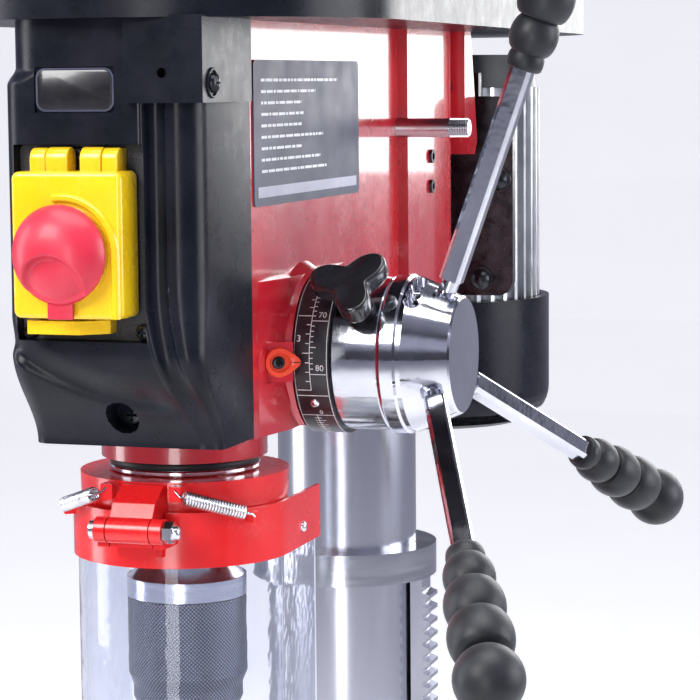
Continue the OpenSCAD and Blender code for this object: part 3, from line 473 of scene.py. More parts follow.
class Shape:
    """Collects rings, boxes and discs into one mesh."""

    def __init__(self):
        self.v, self.f = [], []

    def add(self, verts, faces, place=None):
        k = len(self.v)
        self.v += [place @ Vector(p) if place else Vector(p) for p in verts]
        self.f += [tuple(k + i for i in f) for f in faces]

    def revolve(self, profile, n=64, place=None):
        """profile is (radius, height) pairs, turned about Z."""
        rings, verts, faces = [], [], []
        for r, z in profile:
            if r < 1e-9:
                rings.append([len(verts)] * n)
                verts.append((0, 0, z))
            else:
                rings.append(list(range(len(verts), len(verts) + n)))
                verts += [(r * math.cos(2 * math.pi * i / n), r * math.sin(2 * math.pi * i / n), z)
                          for i in range(n)]
        for a, b in zip(rings, rings[1:]):
            for i in range(n):
                j = (i + 1) % n
                face = [a[i], a[j], b[j], b[i]]
                face = [f for k, f in enumerate(face) if f not in face[:k]]
                if len(face) > 2:
                    faces.append(tuple(face))
        self.add(verts, faces, place)

    def prism(self, outline, low, high, place=None, bevel=0.0, steps=3):
        """Outline in XY drawn out along Z, with rounded rims."""
        n = len(outline)
        c = (sum(p[0] for p in outline) / n, sum(p[1] for p in outline) / n)
        levels = [(low, bevel)]
        if bevel:
            levels = [(low + bevel * (1 - math.cos(t)), bevel * (1 - math.sin(t)))
                      for t in (math.pi / 2 * k / steps for k in range(steps + 1))]
            levels += [(high - bevel * (1 - math.sin(t)), bevel * (1 - math.cos(t)))
                       for t in (math.pi / 2 * k / steps for k in range(steps + 1))]
        else:
            levels = [(low, 0), (high, 0)]
        verts, faces = [], []
        for z, inset in levels:
            for i, p in enumerate(outline):
                d = Vector((p[0] - c[0], p[1] - c[1]))
                q = Vector(p) - (d.normalized() * inset if d.length else Vector((0, 0)))
                verts.append((q.x, q.y, z))
        for k in range(len(levels) - 1):
            for i in range(n):
                j = (i + 1) % n
                faces.append((k * n + i, k * n + j, (k + 1) * n + j, (k + 1) * n + i))
        faces.append(tuple(reversed(range(n))))
        faces.append(tuple((len(levels) - 1) * n + i for i in range(n)))
        self.add(verts, faces, place)

    def sweep(self, points, radius, n=8, closed_ends=True):
        """Round wire along points."""
        pts = [Vector(p) for p in points]
        normal = None
        verts, faces = [], []
        for i, p in enumerate(pts):
            t = (pts[min(i + 1, len(pts) - 1)] - pts[max(i - 1, 0)]).normalized()
            if normal is None:
                normal = t.orthogonal().normalized()
            normal = (normal - t * normal.dot(t)).normalized()
            side = t.cross(normal)
            for k in range(n):
                a = 2 * math.pi * k / n
                verts.append(p + (normal * math.cos(a) + side * math.sin(a)) * radius)
        for i in range(len(pts) - 1):
            for k in range(n):
                j = (k + 1) % n
                faces.append((i * n + k, i * n + j, (i + 1) * n + j, (i + 1) * n + k))
        if closed_ends:
            faces.append(tuple(reversed(range(n))))
            faces.append(tuple((len(pts) - 1) * n + k for k in range(n)))
        self.add(verts, faces)

    def make(self, name, mat, body, slot, replaces=(), **k):
        return make(name, self.v, self.f, mat, body, slot, replaces, **k)


def mm(*points):
    """Points given in millimetres, in metres."""
    return [(a * MM, b * MM) for a, b in points]


def axis_frame(origin, direction, up=(0, 0, 1)):
    """Matrix whose Z runs along direction from origin."""
    z = Vector(direction).normalized()
    x = Vector(up).cross(z)
    x = x.normalized() if x.length > 1e-6 else Vector((1, 0, 0))
    y = z.cross(x)
    m = Matrix((x, y, z)).transposed().to_4x4()
    m.translation = Vector(origin)
    return m


def smoothstep(a, b, v):
    t = min(1.0, max(0.0, (v - a) / (b - a)))
    return t * t * (3 - 2 * t)


# ---- studio ----

def camera():
    cam = bpy.data.objects.new("camera", bpy.data.cameras.new("camera"))
    bpy.context.scene.collection.objects.link(cam)
    cam.data.lens = 128.8
    cam.data.sensor_width = 36.0
    cam.data.clip_end = 50.0
    turn = (Matrix.Rotation(math.radians(17.673), 4, "Z") @ Matrix.Rotation(math.radians(90 - 6.122), 4, "X")
            @ Matrix.Rotation(math.radians(-0.496), 4, "Z"))
    cam.matrix_world = Matrix.Translation(at(439.48, -1115.58, 131.62)) @ turn
    bpy.context.scene.camera = cam


def lamp(name, place, aim, size, power, colour=(1, 1, 1)):
    light = bpy.data.lights.new(name, "AREA")
    light.shape = "RECTANGLE"
    light.size, light.size_y = size
    light.energy = power
    light.color = colour
    obj = bpy.data.objects.new(name, light)
    bpy.context.scene.collection.objects.link(obj)
    obj.location = place
    obj.rotation_euler = (Vector(aim) - Vector(place)).to_track_quat("-Z", "Y").to_euler()


def studio():
    aim = at(0, 60, 0)
    lamp("key", at(-700, -1500, 1100), aim, (0.9, 0.9), 34, (1.0, 0.99, 0.98))
    lamp("side", at(1700, 450, 300), at(60, 60, 40), (1.1, 1.0), 21, (0.93, 0.95, 1.0))
    lamp("top", at(150, -100, 1700), aim, (1.6, 1.6), 40)
    lamp("front", at(250, -2000, -100), aim, (0.5, 1.2), 12)
    lamp("left", at(-1500, -300, 200), aim, (0.5, 1.4), 12, (0.95, 0.96, 1.0))
    lamp("back", at(500, 1700, 500), aim, (1.0, 1.0), 14)
    world = bpy.data.worlds.new("studio")
    bpy.context.scene.world = world
    world.use_nodes = True
    t = world.node_tree
    t.nodes.clear()
    out = t.nodes.new("ShaderNodeOutputWorld")
    seen, lit = t.nodes.new("ShaderNodeBackground"), t.nodes.new("ShaderNodeBackground")
    seen.inputs["Color"].default_value = (1, 1, 1, 1)
    seen.inputs["Strength"].default_value = 1.0
    path, mix = t.nodes.new("ShaderNodeLightPath"), t.nodes.new("ShaderNodeMixShader")
    coord, xyz = t.nodes.new("ShaderNodeTexCoord"), t.nodes.new("ShaderNodeSeparateXYZ")
    t.links.new(coord.outputs["Generated"], xyz.inputs["Vector"])

    def bands(source, stops):
        m = t.nodes.new("ShaderNodeMapRange")
        m.inputs["From Min"].default_value, m.inputs["From Max"].default_value = -1, 1
        t.links.new(source, m.inputs["Value"])
        ramp = t.nodes.new("ShaderNodeValToRGB")
        while len(ramp.color_ramp.elements) < len(stops):
            ramp.color_ramp.elements.new(0.5)
        for e, (p, v) in zip(ramp.color_ramp.elements, stops):
            e.position = p
            e.color = (v * 0.93, v * 0.94, v * 1.08, 1)
        t.links.new(m.outputs["Result"], ramp.inputs["Fac"])
        return ramp.outputs["Color"]

    high = bands(xyz.outputs["Z"], [(0.0, 0.55), (0.38, 0.45), (0.46, 0.10), (0.56, 0.16), (0.63, 0.75),
                                    (0.72, 0.70), (0.78, 0.12), (0.88, 0.5), (1.0, 0.9)])
    across = bands(xyz.outputs["X"], [(0.0, 0.9), (0.16, 0.95), (0.24, 0.15), (0.36, 0.6), (0.50, 0.9),
                                      (0.58, 0.12), (0.70, 0.5), (0.84, 1.0), (0.93, 0.95), (1.0, 0.3)])
    both = t.nodes.new("ShaderNodeMix")
    both.data_type = "RGBA"
    both.blend_type = "MULTIPLY"
    both.inputs["Factor"].default_value = 0.85
    t.links.new(high, both.inputs["A"])
    t.links.new(across, both.inputs["B"])
    t.links.new(both.outputs["Result"], lit.inputs["Color"])
    lit.inputs["Strength"].default_value = 0.9
    direct = t.nodes.new("ShaderNodeMath")
    direct.operation = "MAXIMUM"
    t.links.new(path.outputs["Is Camera Ray"], direct.inputs[0])
    t.links.new(path.outputs["Is Transmission Ray"], direct.inputs[1])
    t.links.new(direct.outputs[0], mix.inputs["Fac"])
    t.links.new(lit.outputs["Background"], mix.inputs[1])
    t.links.new(seen.outputs["Background"], mix.inputs[2])
    t.links.new(mix.outputs["Shader"], out.inputs["Surface"])
    view = bpy.context.scene.view_settings
    view.view_transform = "Standard"
    view.look = "None"


def floor():
    m = Nodes("floor")
    m.colour((0.80, 0.80, 0.81), (0.84, 0.84, 0.85), 3.0)
    m.roughness(0.7, 0.8, 5.0)
    m.grain(80.0, 0.0003, 0.1)
    m.bsdf.inputs["Emission Color"].default_value = (1, 1, 1, 1)
    seen = m.node("ShaderNodeLightPath")
    direct = m.math("MAXIMUM", seen.outputs["Is Camera Ray"], seen.outputs["Is Transmission Ray"])
    glow = m.math("MULTIPLY", direct, 0.58)
    m.tree.links.new(glow, m.bsdf.inputs["Emission Strength"])
    MATS["floor"] = m.mat
    n, size, rise = 24, 9.0, 3.0
    verts, faces = [], []
    for i in range(n + 1):
        y = -size + 2 * size * i / n
        z = max(0.0, y - 5.0) ** 2 / 16 * rise
        verts += [(-size, y, z), (size, y, z)]
    for i in range(n):
        faces.append((2 * i, 2 * i + 1, 2 * i + 3, 2 * i + 2))
    mesh = bpy.data.meshes.new("floor")
    mesh.from_pydata(verts, [], faces)
    obj = bpy.data.objects.new("floor", mesh)
    bpy.context.scene.collection.objects.link(obj)
    obj.location.z = CAD_BOX[0].z
    obj.data.materials.append(m.mat)
    obj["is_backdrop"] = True


# ---- front cover and switch ----

def fascia_depth(x, z):
    """How far the front cover's skin stands back from its foremost plane, in mm, at x across and z up."""
    half = 46.0 if x > 0 else 48.0
    drop = smoothstep(48.0, -33.0, z)
    corner = 13.0 - 8.0 * drop if x > 0 else 12.0 - 3.0 * drop + 12.0 * smoothstep(131.0, 139.0, z)
    back = 0.0
    side = half - abs(x)
    if side < corner:
        back += corner - math.sqrt(max(0.0, corner ** 2 - (corner - side) ** 2))
    if z < 14.0:
        back += 27.0 * smoothstep(14.0, -33.0, z) ** 1.1
    middle = 26.3 + 14.0 * drop ** 1.3
    depth = 1 - 0.85 * drop
    d = x - middle
    if abs(d) < 4.6:
        back += math.sqrt(4.6 ** 2 - d * d) * 0.95 * depth
    elif -8.0 < d <= -4.6:
        back -= 0.9 * math.sin((d + 8.0) / 3.4 * math.pi) * depth
    if x > middle + 4.6:
        back += 0.9 * depth * (1 - smoothstep(0, 5, x - middle - 4.6))
    bow = 13.0 - 25.0 * (1 - ((x - 20.0) / 66.0) ** 2)
    inside = 1 - smoothstep(middle - 22.0, middle - 6.0, x)
    back += inside * (3.0 * smoothstep(bow + 15.0, bow + 2.0, z) - 3.0 * smoothstep(bow + 2.0, bow - 4.5, z))
    return back


def fascia():
    nx, nz = 150, 240
    x0, x1, z0, z1 = -48.0, 46.0, -33.0, 160.0
    front, seam = -97.0, -29.0
    sw = (-42.0, 21.0, 17.5, 104.9)
    win = (-30.5, 7.5, 119.0, 139.0)
    hole = (0.0, -19.0, 7.5)
    fine = [k * 0.4 - 8.0 for k in range(41)]
    def grid(lo, hi, count, middle, edges):
        steps = [lo + (hi - lo) * i / count for i in range(count + 1)]
        return sorted(set([v for v in steps if abs(v - middle) > 8] + [middle + v for v in fine]
                          + [v + e for v in edges for e in (-0.05, 0.05)]))

    xs = grid(x0, x1, nx, hole[0], (*sw[:2], *win[:2]))
    zs = grid(z0, z1, nz, hole[1], (*sw[2:], *win[2:]))

    def y_of(x, z):
        y = front + fascia_depth(x, z)
        if sw[0] < x < sw[1] and sw[2] < z < sw[3]:
            y = max(y, front + 11.4)
        if win[0] < x < win[1] and win[2] < z < win[3]:
            y = max(y, front + 1.8)
        if (x - hole[0]) ** 2 + (z - hole[1]) ** 2 < hole[2] ** 2:
            y += 12.0
        return min(y, seam - 0.5)

    verts = [at(x, y_of(x, z), z) for z in zs for x in xs]
    nxs = len(xs)
    faces = [(k * nxs + i, k * nxs + i + 1, (k + 1) * nxs + i + 1, (k + 1) * nxs + i)
             for k in range(len(zs) - 1) for i in range(nxs - 1)]
    back = len(verts)
    border = ([i for i in range(nxs)] + [k * nxs + nxs - 1 for k in range(1, len(zs))]
              + [(len(zs) - 1) * nxs + i for i in range(nxs - 2, -1, -1)] + [k * nxs
                      for k in range(len(zs) - 2, 0, -1)])
    seam_y = at(0, seam, 0).y
    verts += [Vector((verts[i].x, seam_y, verts[i].z)) for i in border]
    m = len(border)
    for i in range(m):
        j = (i + 1) % m
        faces.append((border[j], border[i], back + i, back + j))
    make("front_cover", verts, faces, "moulded_black", "stand", "black_plastic", ["fascia"], angle=52.0)


def mushroom():
    """Red stop button: a dome with a thumb scoop in its lower half, stem, finger and latch tab."""
    lo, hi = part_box("stop_mushroom")
    cx = (lo.x + hi.x) / 2
    top = hi.z
    radius = (hi.x - lo.x) / 2
    cz = top - radius
    n, rings = 96, 40
    s = Shape()
    verts, faces = [], []
    R = radius / MM
    crown = 12.0
    origin = Vector((cx, lo.y, cz))

    def skin(r, a):
        x, z = r * math.cos(a), r * math.sin(a)
        y = crown * (1 - (r / R) ** 2.6) ** 0.75 if r < R else 0.0
        d = math.hypot(x + 1.0, z + 14.0)
        scoop = 4.4 * (1 - smoothstep(12.2, 15.2, d)) * (1 - smoothstep(R - 3.0, R, r) * 0.55)
        return Vector((x * MM, (12.0 - y + scoop) * MM, z * MM)) + origin

    for k in range(rings + 1):
        r = R * math.sin(math.pi / 2 * k / rings)
        for i in range(n):
            verts.append(skin(r, 2 * math.pi * i / n))
    for k in range(rings):
        for i in range(n):
            j = (i + 1) % n
            faces.append((k * n + i, k * n + j, (k + 1) * n + j, (k + 1) * n + i))
    base = len(verts)
    for depth, shrink in ((12.8, 1.0), (13.6, 0.965), (13.6, 0.28)):
        for i in range(n):
            a = 2 * math.pi * i / n
            verts.append(origin + Vector((R * shrink * math.cos(a) * MM, depth * MM,
                                          R * shrink * math.sin(a) * MM)))
    last = rings * n
    for k in range(3):
        a0 = last if k == 0 else base + (k - 1) * n
        b0 = base + k * n
        for i in range(n):
            j = (i + 1) % n
            faces.append((a0 + i, a0 + j, b0 + j, b0 + i))
    s.add(verts, faces)
    along = axis_frame(origin + Vector((0, 13.2 * MM, 0)), (0, 1, 0))
    s.revolve(mm((6, 0), (6, 10.5), (5.4, 11), (0, 11)), 40, along)
    s.prism(mm((-4, -1), (4, -1), (4, 9), (-4, 9)), 11 * MM, 16 * MM, along, 0.5 * MM)
    tab = [(-6.5, -28.5), (5.5, -28.5), (5.5, -14), (-6.5, -14)]
    s.prism([(x * MM, z * MM) for x, z in tab], 0, 2.2 * MM,
            Matrix.Translation(origin + Vector((0, 15.8 * MM, 0))) @ Matrix.Rotation(math.pi / 2, 4,
                    "X"), 0.5 * MM)
    s.make("stop_dome", "red_soft", "mushroom", "red_plastic", ["stop_mushroom"], angle=50.0)


def cross_screw(s, place, r):
    """Pan head with a cross recess, standing on the place's XY plane."""
    n = 40
    rim = [(r * MM * math.cos(2 * math.pi * i / n), r * MM * math.sin(2 * math.pi * i / n)) for i in range(n)]
    rings = [(1.0, 0.0), (1.0, 0.3), (0.86, 0.55), (0.62, 0.66)]
    verts, faces = [], []
    for shrink, h in rings:
        verts += [(x * shrink, y * shrink, h * r * MM) for x, y in rim]
    for k in range(len(rings) - 1):
        for i in range(n):
            j = (i + 1) % n
            faces.append((k * n + i, k * n + j, (k + 1) * n + j, (k + 1) * n + i))
    star = []
    for i in range(n):
        a = 2 * math.pi * i / n
        star.append((0.55 if abs(math.cos(2 * a)) > 0.8 else 0.2, a))
    base = len(verts)
    verts += [(r * MM * q * math.cos(a), r * MM * q * math.sin(a), 0.68 * r * MM) for q, a in star]
    verts += [(r * MM * q * 0.8 * math.cos(a), r * MM * q * 0.8 * math.sin(a), 0.25 * r * MM) for q,
              a in star]
    for k, b0 in ((base - n, base), (base, base + n)):
        for i in range(n):
            j = (i + 1) % n
            faces.append((k + i, k + j, b0 + j, b0 + i))
    faces.append(tuple(base + n + i for i in range(n)))
    s.add(verts, faces, place)


def fascia_screws():
    s = Shape()
    cx, cz = -10.5, 61.2
    for dx, dz in ((-27, -39.6), (27, -39.6), (-2.6, 39.2)):
        cross_screw(s, axis_frame(at(cx + dx, -89.0, cz + dz), (0, -1, 0)), 3.6)
    cross_screw(s, axis_frame(at(0, -62, -19), (0, -1, 0)), 5.0)
    s.make("cover_screws", "black_steel", "stand", "dark_steel", ["fascia_screws"], angle=30.0)


def guard_block_screw():
    """Screw in a round seat on the right side of the belt guard's corner block."""
    seat = axis_frame(at(51.0, -90.6, 131.5), (1, 0, 0))
    ring = Shape()
    ring.revolve(mm((6.7, -0.2), (6.7, 0.5), (6.3, 0.9), (5.7, 0.9), (5.4, 0.4), (5.4, -0.2)), 48, seat)
    ring.make("guard_block_seat", "moulded_black", "stand", "black_plastic", angle=40.0)
    s = Shape()
    cross_screw(s, seat, 4.4)
    s.make("guard_block_screw", "black_steel", "stand", "dark_steel", angle=30.0)


def knuckle(s, xa, xb, r, foot):
    """Hinge eye about the lid's axis from xa to xb, with a leg down to the height foot."""
    outline = [(r * math.cos(a), r * math.sin(a)) for a in (math.pi * k / 14 for k in range(15))]
    outline += [(-r, foot), (r * 0.8, foot)]
    turn = Matrix(((0, 0, 1, 0), (1, 0, 0, 0), (0, 1, 0, 0), (0, 0, 0, 1)))
    place = Matrix.Translation(at(0, -97, 98.7)) @ turn
    s.prism([(y * MM, z * MM) for y, z in outline], xa * MM, xb * MM, place, 0.7 * MM)


def switch_lid():
    """Moulded lid: rounded shell, raised arch beside the button and two hinge eyes."""
    cx, cz, w, h, front, back = -10.5, 61.2, 26.2, 32.3, -111.0, -92.5
    n, r = 9, 3.4

    def outline(inset):
        pts = []
        for qx, qz, a0 in ((1, 1, 0), (-1, 1, 90), (-1, -1, 180), (1, -1, 270)):
            for k in range(n):
                a = math.radians(a0 + 90 * k / (n - 1))
                rr = max(0.4, r - inset)
                pts.append((cx + qx * (w - r) + rr * math.cos(a), cz + qz * (h - r) + rr * math.sin(a)))
        return pts

    s = Shape()
    levels = [(back, 2.2), (back, 0.0), (front + 2.2, 0.0)]
    levels += [(front + 2.2 - 2.2 * math.sin(t), 2.2 * (1 - math.cos(t)))
               for t in (math.pi / 2 * k / 6 for k in range(1, 7))]
    verts, faces = [], []
    for y, inset in levels:
        verts += [at(x, y, z) for x, z in outline(inset)]
    m = 4 * n
    for k in range(len(levels) - 1):
        for i in range(m):
            j = (i + 1) % m
            faces.append((k * m + i, k * m + j, (k + 1) * m + j, (k + 1) * m + i))
    faces.append(tuple((len(levels) - 1) * m + i for i in range(m)))
    inner = len(verts)
    for y in (back, front + 2.4):
        verts += [at(x, y, z) for x, z in outline(2.2)]
    for i in range(m):
        j = (i + 1) % m
        faces.append((inner + i, inner + j, inner + m + j, inner + m + i))
    faces.append(tuple(inner + m + i for i in range(m)))
    s.add(verts, faces)
    mx, mz = -12.0, 57.5
    path = [(mx + 24.6 * math.cos(a), mz + 24.6 * math.sin(a))
            for a in (math.radians(100 - 100 * k / 20) for k in range(21))]
    path += [(mx + 24.6, mz - 28.0 * k / 6) for k in range(1, 7)]
    section = [(-1.9, 0.3), (-1.5, -1.5), (-0.8, -2.1), (0.8, -2.1), (1.6, -1.4), (2.1, 0.3)]
    verts, faces = [], []
    for i, (x, z) in enumerate(path):
        a, b = path[max(0, i - 1)], path[min(len(path) - 1, i + 1)]
        d = Vector((b[0] - a[0], b[1] - a[1])).normalized()
        out = Vector((-d.y, d.x))
        verts += [at(x + out.x * u, front + v, z + out.y * u) for u, v in section]
    k = len(section)
    for i in range(len(path) - 1):
        for q in range(k - 1):
            faces.append((i * k + q, i * k + q + 1, (i + 1) * k + q + 1, (i + 1) * k + q))
    faces.append(tuple(range(k)))
    faces.append(tuple((len(path) - 1) * k + q for q in range(k)))
    s.add(verts, faces)
    for xa, xb in ((-13.1, -2.6), (3.2, 13.2)):
        knuckle(s, cx + xa, cx + xb, 5.2, -7.5)
    s.revolve(mm((21.4, 0), (21.4, -1.0), (19.0, -1.6), (6.3, -1.6)), 64,
              axis_frame(at(mx, front, mz), (0, 1, 0)))
    s.make("lid_shell", "yellow", "lid", "yellow_plastic", ["switch_lid"], angle=40.0)
    ears = Shape()
    for xa, xb in ((-20.9, -13.4), (13.5, 21.0)):
        knuckle(ears, cx + xa, cx + xb, 4.9, -8.5)
    ears.make("lid_ears", "yellow", "stand", "yellow_plastic", angle=40.0)


def window_pane():
    s = Shape()
    turn = Matrix(((1, 0, 0, 0), (0, 0, -1, 0), (0, 1, 0, 0), (0, 0, 0, 1)))
    w, h, r = 17.6, 8.6, 3.5
    pts = []
    for qx, qz, a0 in ((1, 1, 0), (-1, 1, 90), (-1, -1, 180), (1, -1, 270)):
        pts += [((qx * (w - r) + r * math.cos(math.radians(a0 + 15 * k))) * MM,
                 (qz * (h - r) + r * math.sin(math.radians(a0 + 15 * k))) * MM) for k in range(7)]
    s.prism(pts, 0, 0.5 * MM, Matrix.Translation(at(-11.5, -96.4, 129)) @ turn, 0.2 * MM)
    s.make("window_pane", "gloss_black", "stand", "black_gloss")


def stop_rings():
    """Rubber bumper under the nose with a bright steel washer below it."""
    place = Matrix.Translation(at(0, 0, 0))
    rubber_ring, washer = Shape(), Shape()
    rubber_ring.revolve(mm((34.2, -49.4), (35.5, -49.4), (36.0, -48.6), (36.0, -47.0), (35.4, -46.2),
                           (34.2, -46.2)), 96, place)
    rubber_ring.make("bumper", "rubber", "quill", "belt_rubber", ["bumper_ring"])
    washer.revolve(mm((34.2, -52.2), (35.8, -52.2), (36.4, -51.5), (36.4, -50.2), (35.8, -49.6),
                      (34.2, -49.6)), 96, place)
    washer.make("bumper_washer", "chrome", "quill", "bright_steel")


# ---- feed handle ----

def lever_frames():
    """Each lever's frame at the hub's cone, Z running out along the lever."""
    r = 28 * MM
    tilt = math.radians(20)
    for k in range(3):
        a = math.radians(92.7 + 120 * k)
        out = Vector((0, math.cos(a), math.sin(a)))
        d = Vector((math.sin(tilt), 0, 0)) + out * math.cos(tilt)
        yield axis_frame(Vector((118.7 * MM, FEED_Y, FEED_Z)) + out * r, d, (1, 0, 0))


def grips():
    """Ribbed grips that widen to a ball end."""
    start, s = 116.0, Shape()
    profile = [(4.7, 2.0), (4.7, 0.4), (5.4, 0.0), (7.6, 0.0), (8.6, 0.9), (8.9, 3.0), (8.8, 6.0), (8.1, 7.8)]
    for z, length, r in ((8.0, 17.0, 11.7), (25.2, 19.6, 13.7), (45.0, 20.0, 14.7)):
        for k in range(15):
            t = k / 14
            profile.append((r - 3.1 + 3.1 * math.sin(math.pi * min(1.0, t * 1.02)) ** 0.62, z + length * t))
    for k in range(22):
        a = math.radians(-62 + 152 * k / 21)
        profile.append((15.5 * math.cos(a), 79.4 + 15.5 * math.sin(a)))
    for m in lever_frames():
        s.revolve([(max(0, r) * MM, (start + z) * MM) for r, z in profile], 56, m)
    s.make("grips", "rubber", "feed", "grip_rubber", ["lever_grips"], angle=75.0)


def wing_knob():
    """Three-lobed lock knob with a steel stem."""
    a = math.radians(225)
    d = Vector((0, math.sin(a), -math.cos(a)))
    foot = Vector((centre("depth_knob").x, FEED_Y, FEED_Z)) + d * 30.6 * MM
    m = axis_frame(foot, d, (1, 0, 0))
    n = 120
    outline = []
    for i in range(n):
        t = 2 * math.pi * i / n
        r = 15.2 + 5.4 * math.cos(3 * (t - math.radians(20)))
        outline.append((r * MM * math.cos(t), r * MM * math.sin(t)))
    s = Shape()
    s.prism(outline, 14.8 * MM, 24.8 * MM, m, 2.2 * MM, 5)
    s.revolve(mm((0, 9.8), (7.2, 9.8), (7.8, 10.6), (7.8, 15.4)), 40, m)
    s.make("wing_knob", "gloss_black", "ring_lock", "black_gloss", ["depth_knob"], angle=50.0)
    stem = Shape()
    stem.revolve(mm((0, 0.1), (3.4, 0.1), (3.9, 0.8), (3.9, 9.8)), 32, m)
    stem.make("knob_stem", "zinc", "ring_lock", "steel", angle=40.0)


def digit_mesh(text, size):
    """Flat outline of generic dial figures, centred on the origin."""
    curve = bpy.data.curves.new("figure", "FONT")
    curve.body = text
    curve.size = size
    curve.align_x = curve.align_y = "CENTER"
    curve.resolution_u = 3
    obj = bpy.data.objects.new("figure", curve)
    bpy.context.scene.collection.objects.link(obj)
    mesh = bpy.data.meshes.new_from_object(obj)
    verts = [v.co.copy() for v in mesh.vertices]
    faces = [tuple(p.vertices) for p in mesh.polygons]
    bpy.data.objects.remove(obj)
    return verts, faces


def ring_marks():
    """Printed depth scale: inch marks on the left half, millimetre marks on the right, and figures."""
    lo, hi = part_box("depth_ring")
    r = (hi.z - lo.z) / 2 + 0.05 * MM
    x0, x1 = lo.x, hi.x
    width = x1 - x0
    s = Shape()

    def wrap(x, arc):
        """Point on the ring: arc in mm along the rim from the pointer upwards."""
        a = math.pi - arc * MM / r
        return Vector((x, FEED_Y + r * math.cos(a), FEED_Z + r * math.sin(a)))

    def bar(xa, xb, arc_a, arc_b):
        steps = max(1, int(abs(arc_b - arc_a) / 3))
        verts, faces = [], []
        for k in range(steps + 1):
            arc = arc_a + (arc_b - arc_a) * k / steps
            verts += [wrap(xa, arc), wrap(xb, arc)]
        for k in range(steps):
            faces.append((2 * k, 2 * k + 1, 2 * k + 3, 2 * k + 2))
        s.add(verts, faces)

    mid = x0 + width * 0.47
    edge = 0.35 * MM
    thin = 0.2
    around = 2 * math.pi * r / MM
    bar(x0 + 0.5 * MM, x0 + 0.5 * MM + edge * 0.6, 0, around)
    bar(x1 - 0.5 * MM - edge, x1 - 0.5 * MM, 0, around)
    first, last = -15.0, around - 48.0
    bar(mid - edge / 2, mid + edge / 2, first, last)
    mm_step = 2.6
    k = 0
    arc = first
    while arc < last:
        long = k % 8 == 0
        half_mark = k % 4 == 0
        reach = (mid - x0 - 1.2 * MM) if long else (3.6 * MM if half_mark else 2.2 * MM)
        bar(mid - reach, mid, arc - thin, arc + thin)
        k += 1
        arc += 4.6
    k = 0
    arc = first + 8.2
    while arc < last:
        ten = k % 10 == 0
        five = k % 5 == 0
        reach = (x1 - mid - 1.2 * MM) if ten else (3.2 * MM if five else 1.8 * MM)
        bar(mid, mid + reach, arc - thin, arc + thin)
        k += 1
        arc += mm_step
    bar(x0 + 0.6 * MM, x1 - 0.6 * MM, first - 3.2, first - 2.8)

    def figure(text, x, arc, size):
        verts, faces = digit_mesh(text, size * MM)
        base = arc
        s.add([wrap(x + v.x, base + v.y / MM) for v in verts], faces)

    for i in range(5):
        figure(str((3 - i) % 4 if i else 3), x0 + 2.6 * MM, 10.2 + 36.8 * i, 4.6)
    for i in range(8):
        figure(str(80 - 10 * i), x1 - 4.2 * MM, first + 11.2 + 26.0 * i, 4.2)
    figure("0", x0 + width * 0.62, first - 13.5, 3.6)
    bar(x0 + 0.6 * MM, x1 - 0.6 * MM, first - 15.8, first - 15.4)
    bar(mid - edge / 2, mid + edge / 2, first - 32, first - 15.6)
    for i in range(7):
        bar(mid - 1.8 * MM, mid + (3.4 if i % 2 else 1.8) * MM, first - 18 - 2.2 * i - thin,
            first - 18 - 2.2 * i + thin)
    s.make("ring_marks", "white", "stop_ring", "black_gloss", smooth=False)
    rivet = Shape()
    p = wrap(x0 + width * 0.5, first - 7.4)
    out = (p - Vector((p.x, FEED_Y, FEED_Z))).normalized()
    rivet.revolve(mm((2.3, -0.3), (2.3, 0.2), (1.9, 0.7), (1.0, 1.0), (0, 1.1)),
                  32, axis_frame(p, out))
    rivet.make("ring_rivet", "zinc", "stop_ring", "steel", angle=60.0)


def pointer():
    """Teardrop pointer with a raised rim, a slit towards the ring and a dark screw."""
    turn = math.radians(30)
    base = at(50.5, -6, 0)
    m = Matrix.Translation(base) @ Matrix.Rotation(turn, 4, "Z") @ Matrix.Rotation(math.pi / 2, 4, "X")
    n = 72

    def edge(scale, tip):
        pts = []
        for i in range(n):
            t = 2 * math.pi * i / n
            r = 7.0 * scale
            x, y = r * math.cos(t), r * math.sin(t)
            pull = max(0.0, math.cos(t)) ** 3
            pts.append((x + (tip - r) * pull, y * (1 - 0.22 * pull)))
        return pts

    levels = [(edge(1.0, 10.4), 0.0), (edge(1.0, 10.4), 2.2), (edge(0.94, 10.0), 2.9), (edge(0.70, 6.6), 2.9),
              (edge(0.62, 5.4), 2.2), (edge(0.60, 5.0), 1.4)]
    verts, faces = [], []
    for pts, z in levels:
        verts += [(x * MM, y * MM, z * MM) for x, y in pts]
    for k in range(len(levels) - 1):
        for i in range(n):
            j = (i + 1) % n
            faces.append((k * n + i, k * n + j, (k + 1) * n + j, (k + 1) * n + i))
    faces.append(tuple((len(levels) - 1) * n + i for i in range(n)))
    faces.append(tuple(reversed(range(n))))
    s = Shape()
    s.add(verts, faces, m)
    s.make("pointer_plate", "pointer", "stand", "red_plastic", ["depth_pointer"], angle=40.0)
    slit = Shape()
    slit.prism(mm((6.2, -0.25), (10.2, -0.25), (10.2, 0.25), (6.2, 0.25)), 2.0 * MM, 2.96 * MM, m)
    slit.make("pointer_line", "gloss_black", "stand", "black_gloss", angle=30.0)
    screw = Shape()
    cross_screw(screw, m @ Matrix.Translation((-0.4 * MM, 0, 1.3 * MM)), 3.0)
    screw.make("pointer_screw", "black_steel", "stand", "dark_steel", angle=30.0)


# ---- chuck guard ----

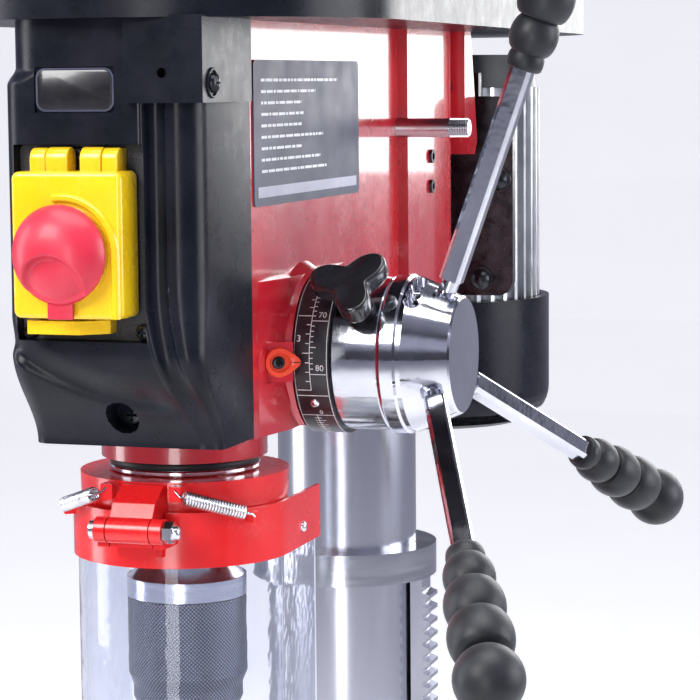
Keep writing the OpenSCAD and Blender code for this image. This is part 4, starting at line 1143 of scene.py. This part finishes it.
def guard_springs():
    """Close-wound coils with a hook at each end."""
    s = Shape()
    for side in (-1, 1):
        a = at(side * 20.5, -60.2, -56.9)
        b = at(side * 47.2, -39.4, -67.0)
        d = (b - a).normalized()
        m = axis_frame(a, d)
        length = (b - a).length
        lead = 2.6 * MM
        turns, wire, radius = 21, 0.62 * MM, 3.0 * MM
        pts = []
        steps = turns * 14
        for i in range(steps + 1):
            t = i / steps
            ang = 2 * math.pi * turns * t
            pts.append(m @ Vector((radius * math.cos(ang), radius * math.sin(ang),
                                   lead + (length - 2 * lead) * t)))
        ear = at(side * 17, -54.5, -56.6)
        peg = at(side * 48.4, -36.0, -67.6)
        mid_a, mid_b = m @ Vector((0, 0, lead * 0.3)), m @ Vector((0, 0, length - lead * 0.3))
        head = [ear + Vector((0, 2.0 * MM, 1.8 * MM)), ear + Vector((0, 0.2 * MM, 2.9 * MM)),
                ear + Vector((side * 0.4 * MM, -2.6 * MM, 1.8 * MM)),
                ear.lerp(mid_a, 0.6), mid_a]
        tail = [mid_b, mid_b.lerp(peg, 0.6), peg + Vector((0, 0, -1.2 * MM))]
        s.sweep(head + [pts[0]] + pts + [pts[-1]] + tail, wire, 7)
    s.make("guard_coils", "zinc", "quill", "steel", ["guard_springs"], angle=60.0)


def guard_details():
    """Rivets of the shield, the tab's screw and the domed end of the guard's bolt."""
    s = Shape()
    for side in (-1, 1):
        p = at(side * 53.0, 20, -83)
        s.revolve(mm((2.6, -0.4), (2.6, 0.5), (1.9, 1.3), (0.8, 1.7), (0, 1.75)), 28,
                  axis_frame(p, (side, 0, 0)))
    p = at(8.5, -56.2, -84.6)
    s.revolve(mm((2.2, -1.2), (2.2, 0.3), (1.5, 1.1), (0, 1.4)), 28, axis_frame(p, (0.15, -1, 0)))
    s.make("guard_rivets", "zinc", "guard", "steel", angle=60.0)
    bolt = Shape()
    end = at(21.4, -69, -72)
    bolt.revolve(mm((3.3, 0), (3.3, 1.6), (2.6, 2.6), (1.3, 3.0), (0, 3.05)), 28, axis_frame(end, (1, 0, 0)))
    bolt.make("guard_nut_end", "zinc", "quill", "steel", angle=50.0)


# ---- label and motor ----

def label_bars():
    """Generic printed bars on the side plate, and a pale stripe near its lower edge."""
    x = at(46.9, 0, 0).x
    y0, y1 = at(0, -24, 0).y, at(0, 133, 0).y
    z0 = at(0, 0, 75.0).z
    rng = random.Random(5)
    s = Shape()

    def bar(ya, yb, za, zb):
        s.add([(x, ya, za), (x, yb, za), (x, yb, zb), (x, ya, zb)], [(0, 1, 2, 3)])

    for row in range(9):
        z = z0 + (14.5 + row * 5.3) * MM
        y = y0 + 8 * MM
        end = y0 + (66 + rng.random() * 62) * MM
        while y < end:
            w = (2.5 + rng.random() * 8) * MM
            bar(y, min(y + w, end), z, z + 1.35 * MM)
            y += w + 1.2 * MM
    s.make("label_bars", "white", "stand", "label", smooth=False)
    stripe = Shape()
    stripe.add([(x, y0 + 3 * MM, z0 + 3 * MM), (x, y1 - 3 * MM, z0 + 3 * MM), (x, y1 - 3 * MM, z0 + 8 * MM),
                (x, y0 + 3 * MM, z0 + 8 * MM)],
               [(0, 1, 2, 3)])
    stripe.make("label_stripe", "label_pale", "stand", "label", smooth=False)


dress_cad()
fascia()
switch_lid()
window_pane()
stop_rings()
mushroom()
fascia_screws()
grips()
wing_knob()
ring_marks()
pointer()
guard_springs()
guard_details()
guard_block_screw()
label_bars()
camera()
studio()
floor()

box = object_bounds()
{name: [list(lo), list(hi)] for name, (lo, hi) in (("cad", CAD_BOX), ("visual", box))}
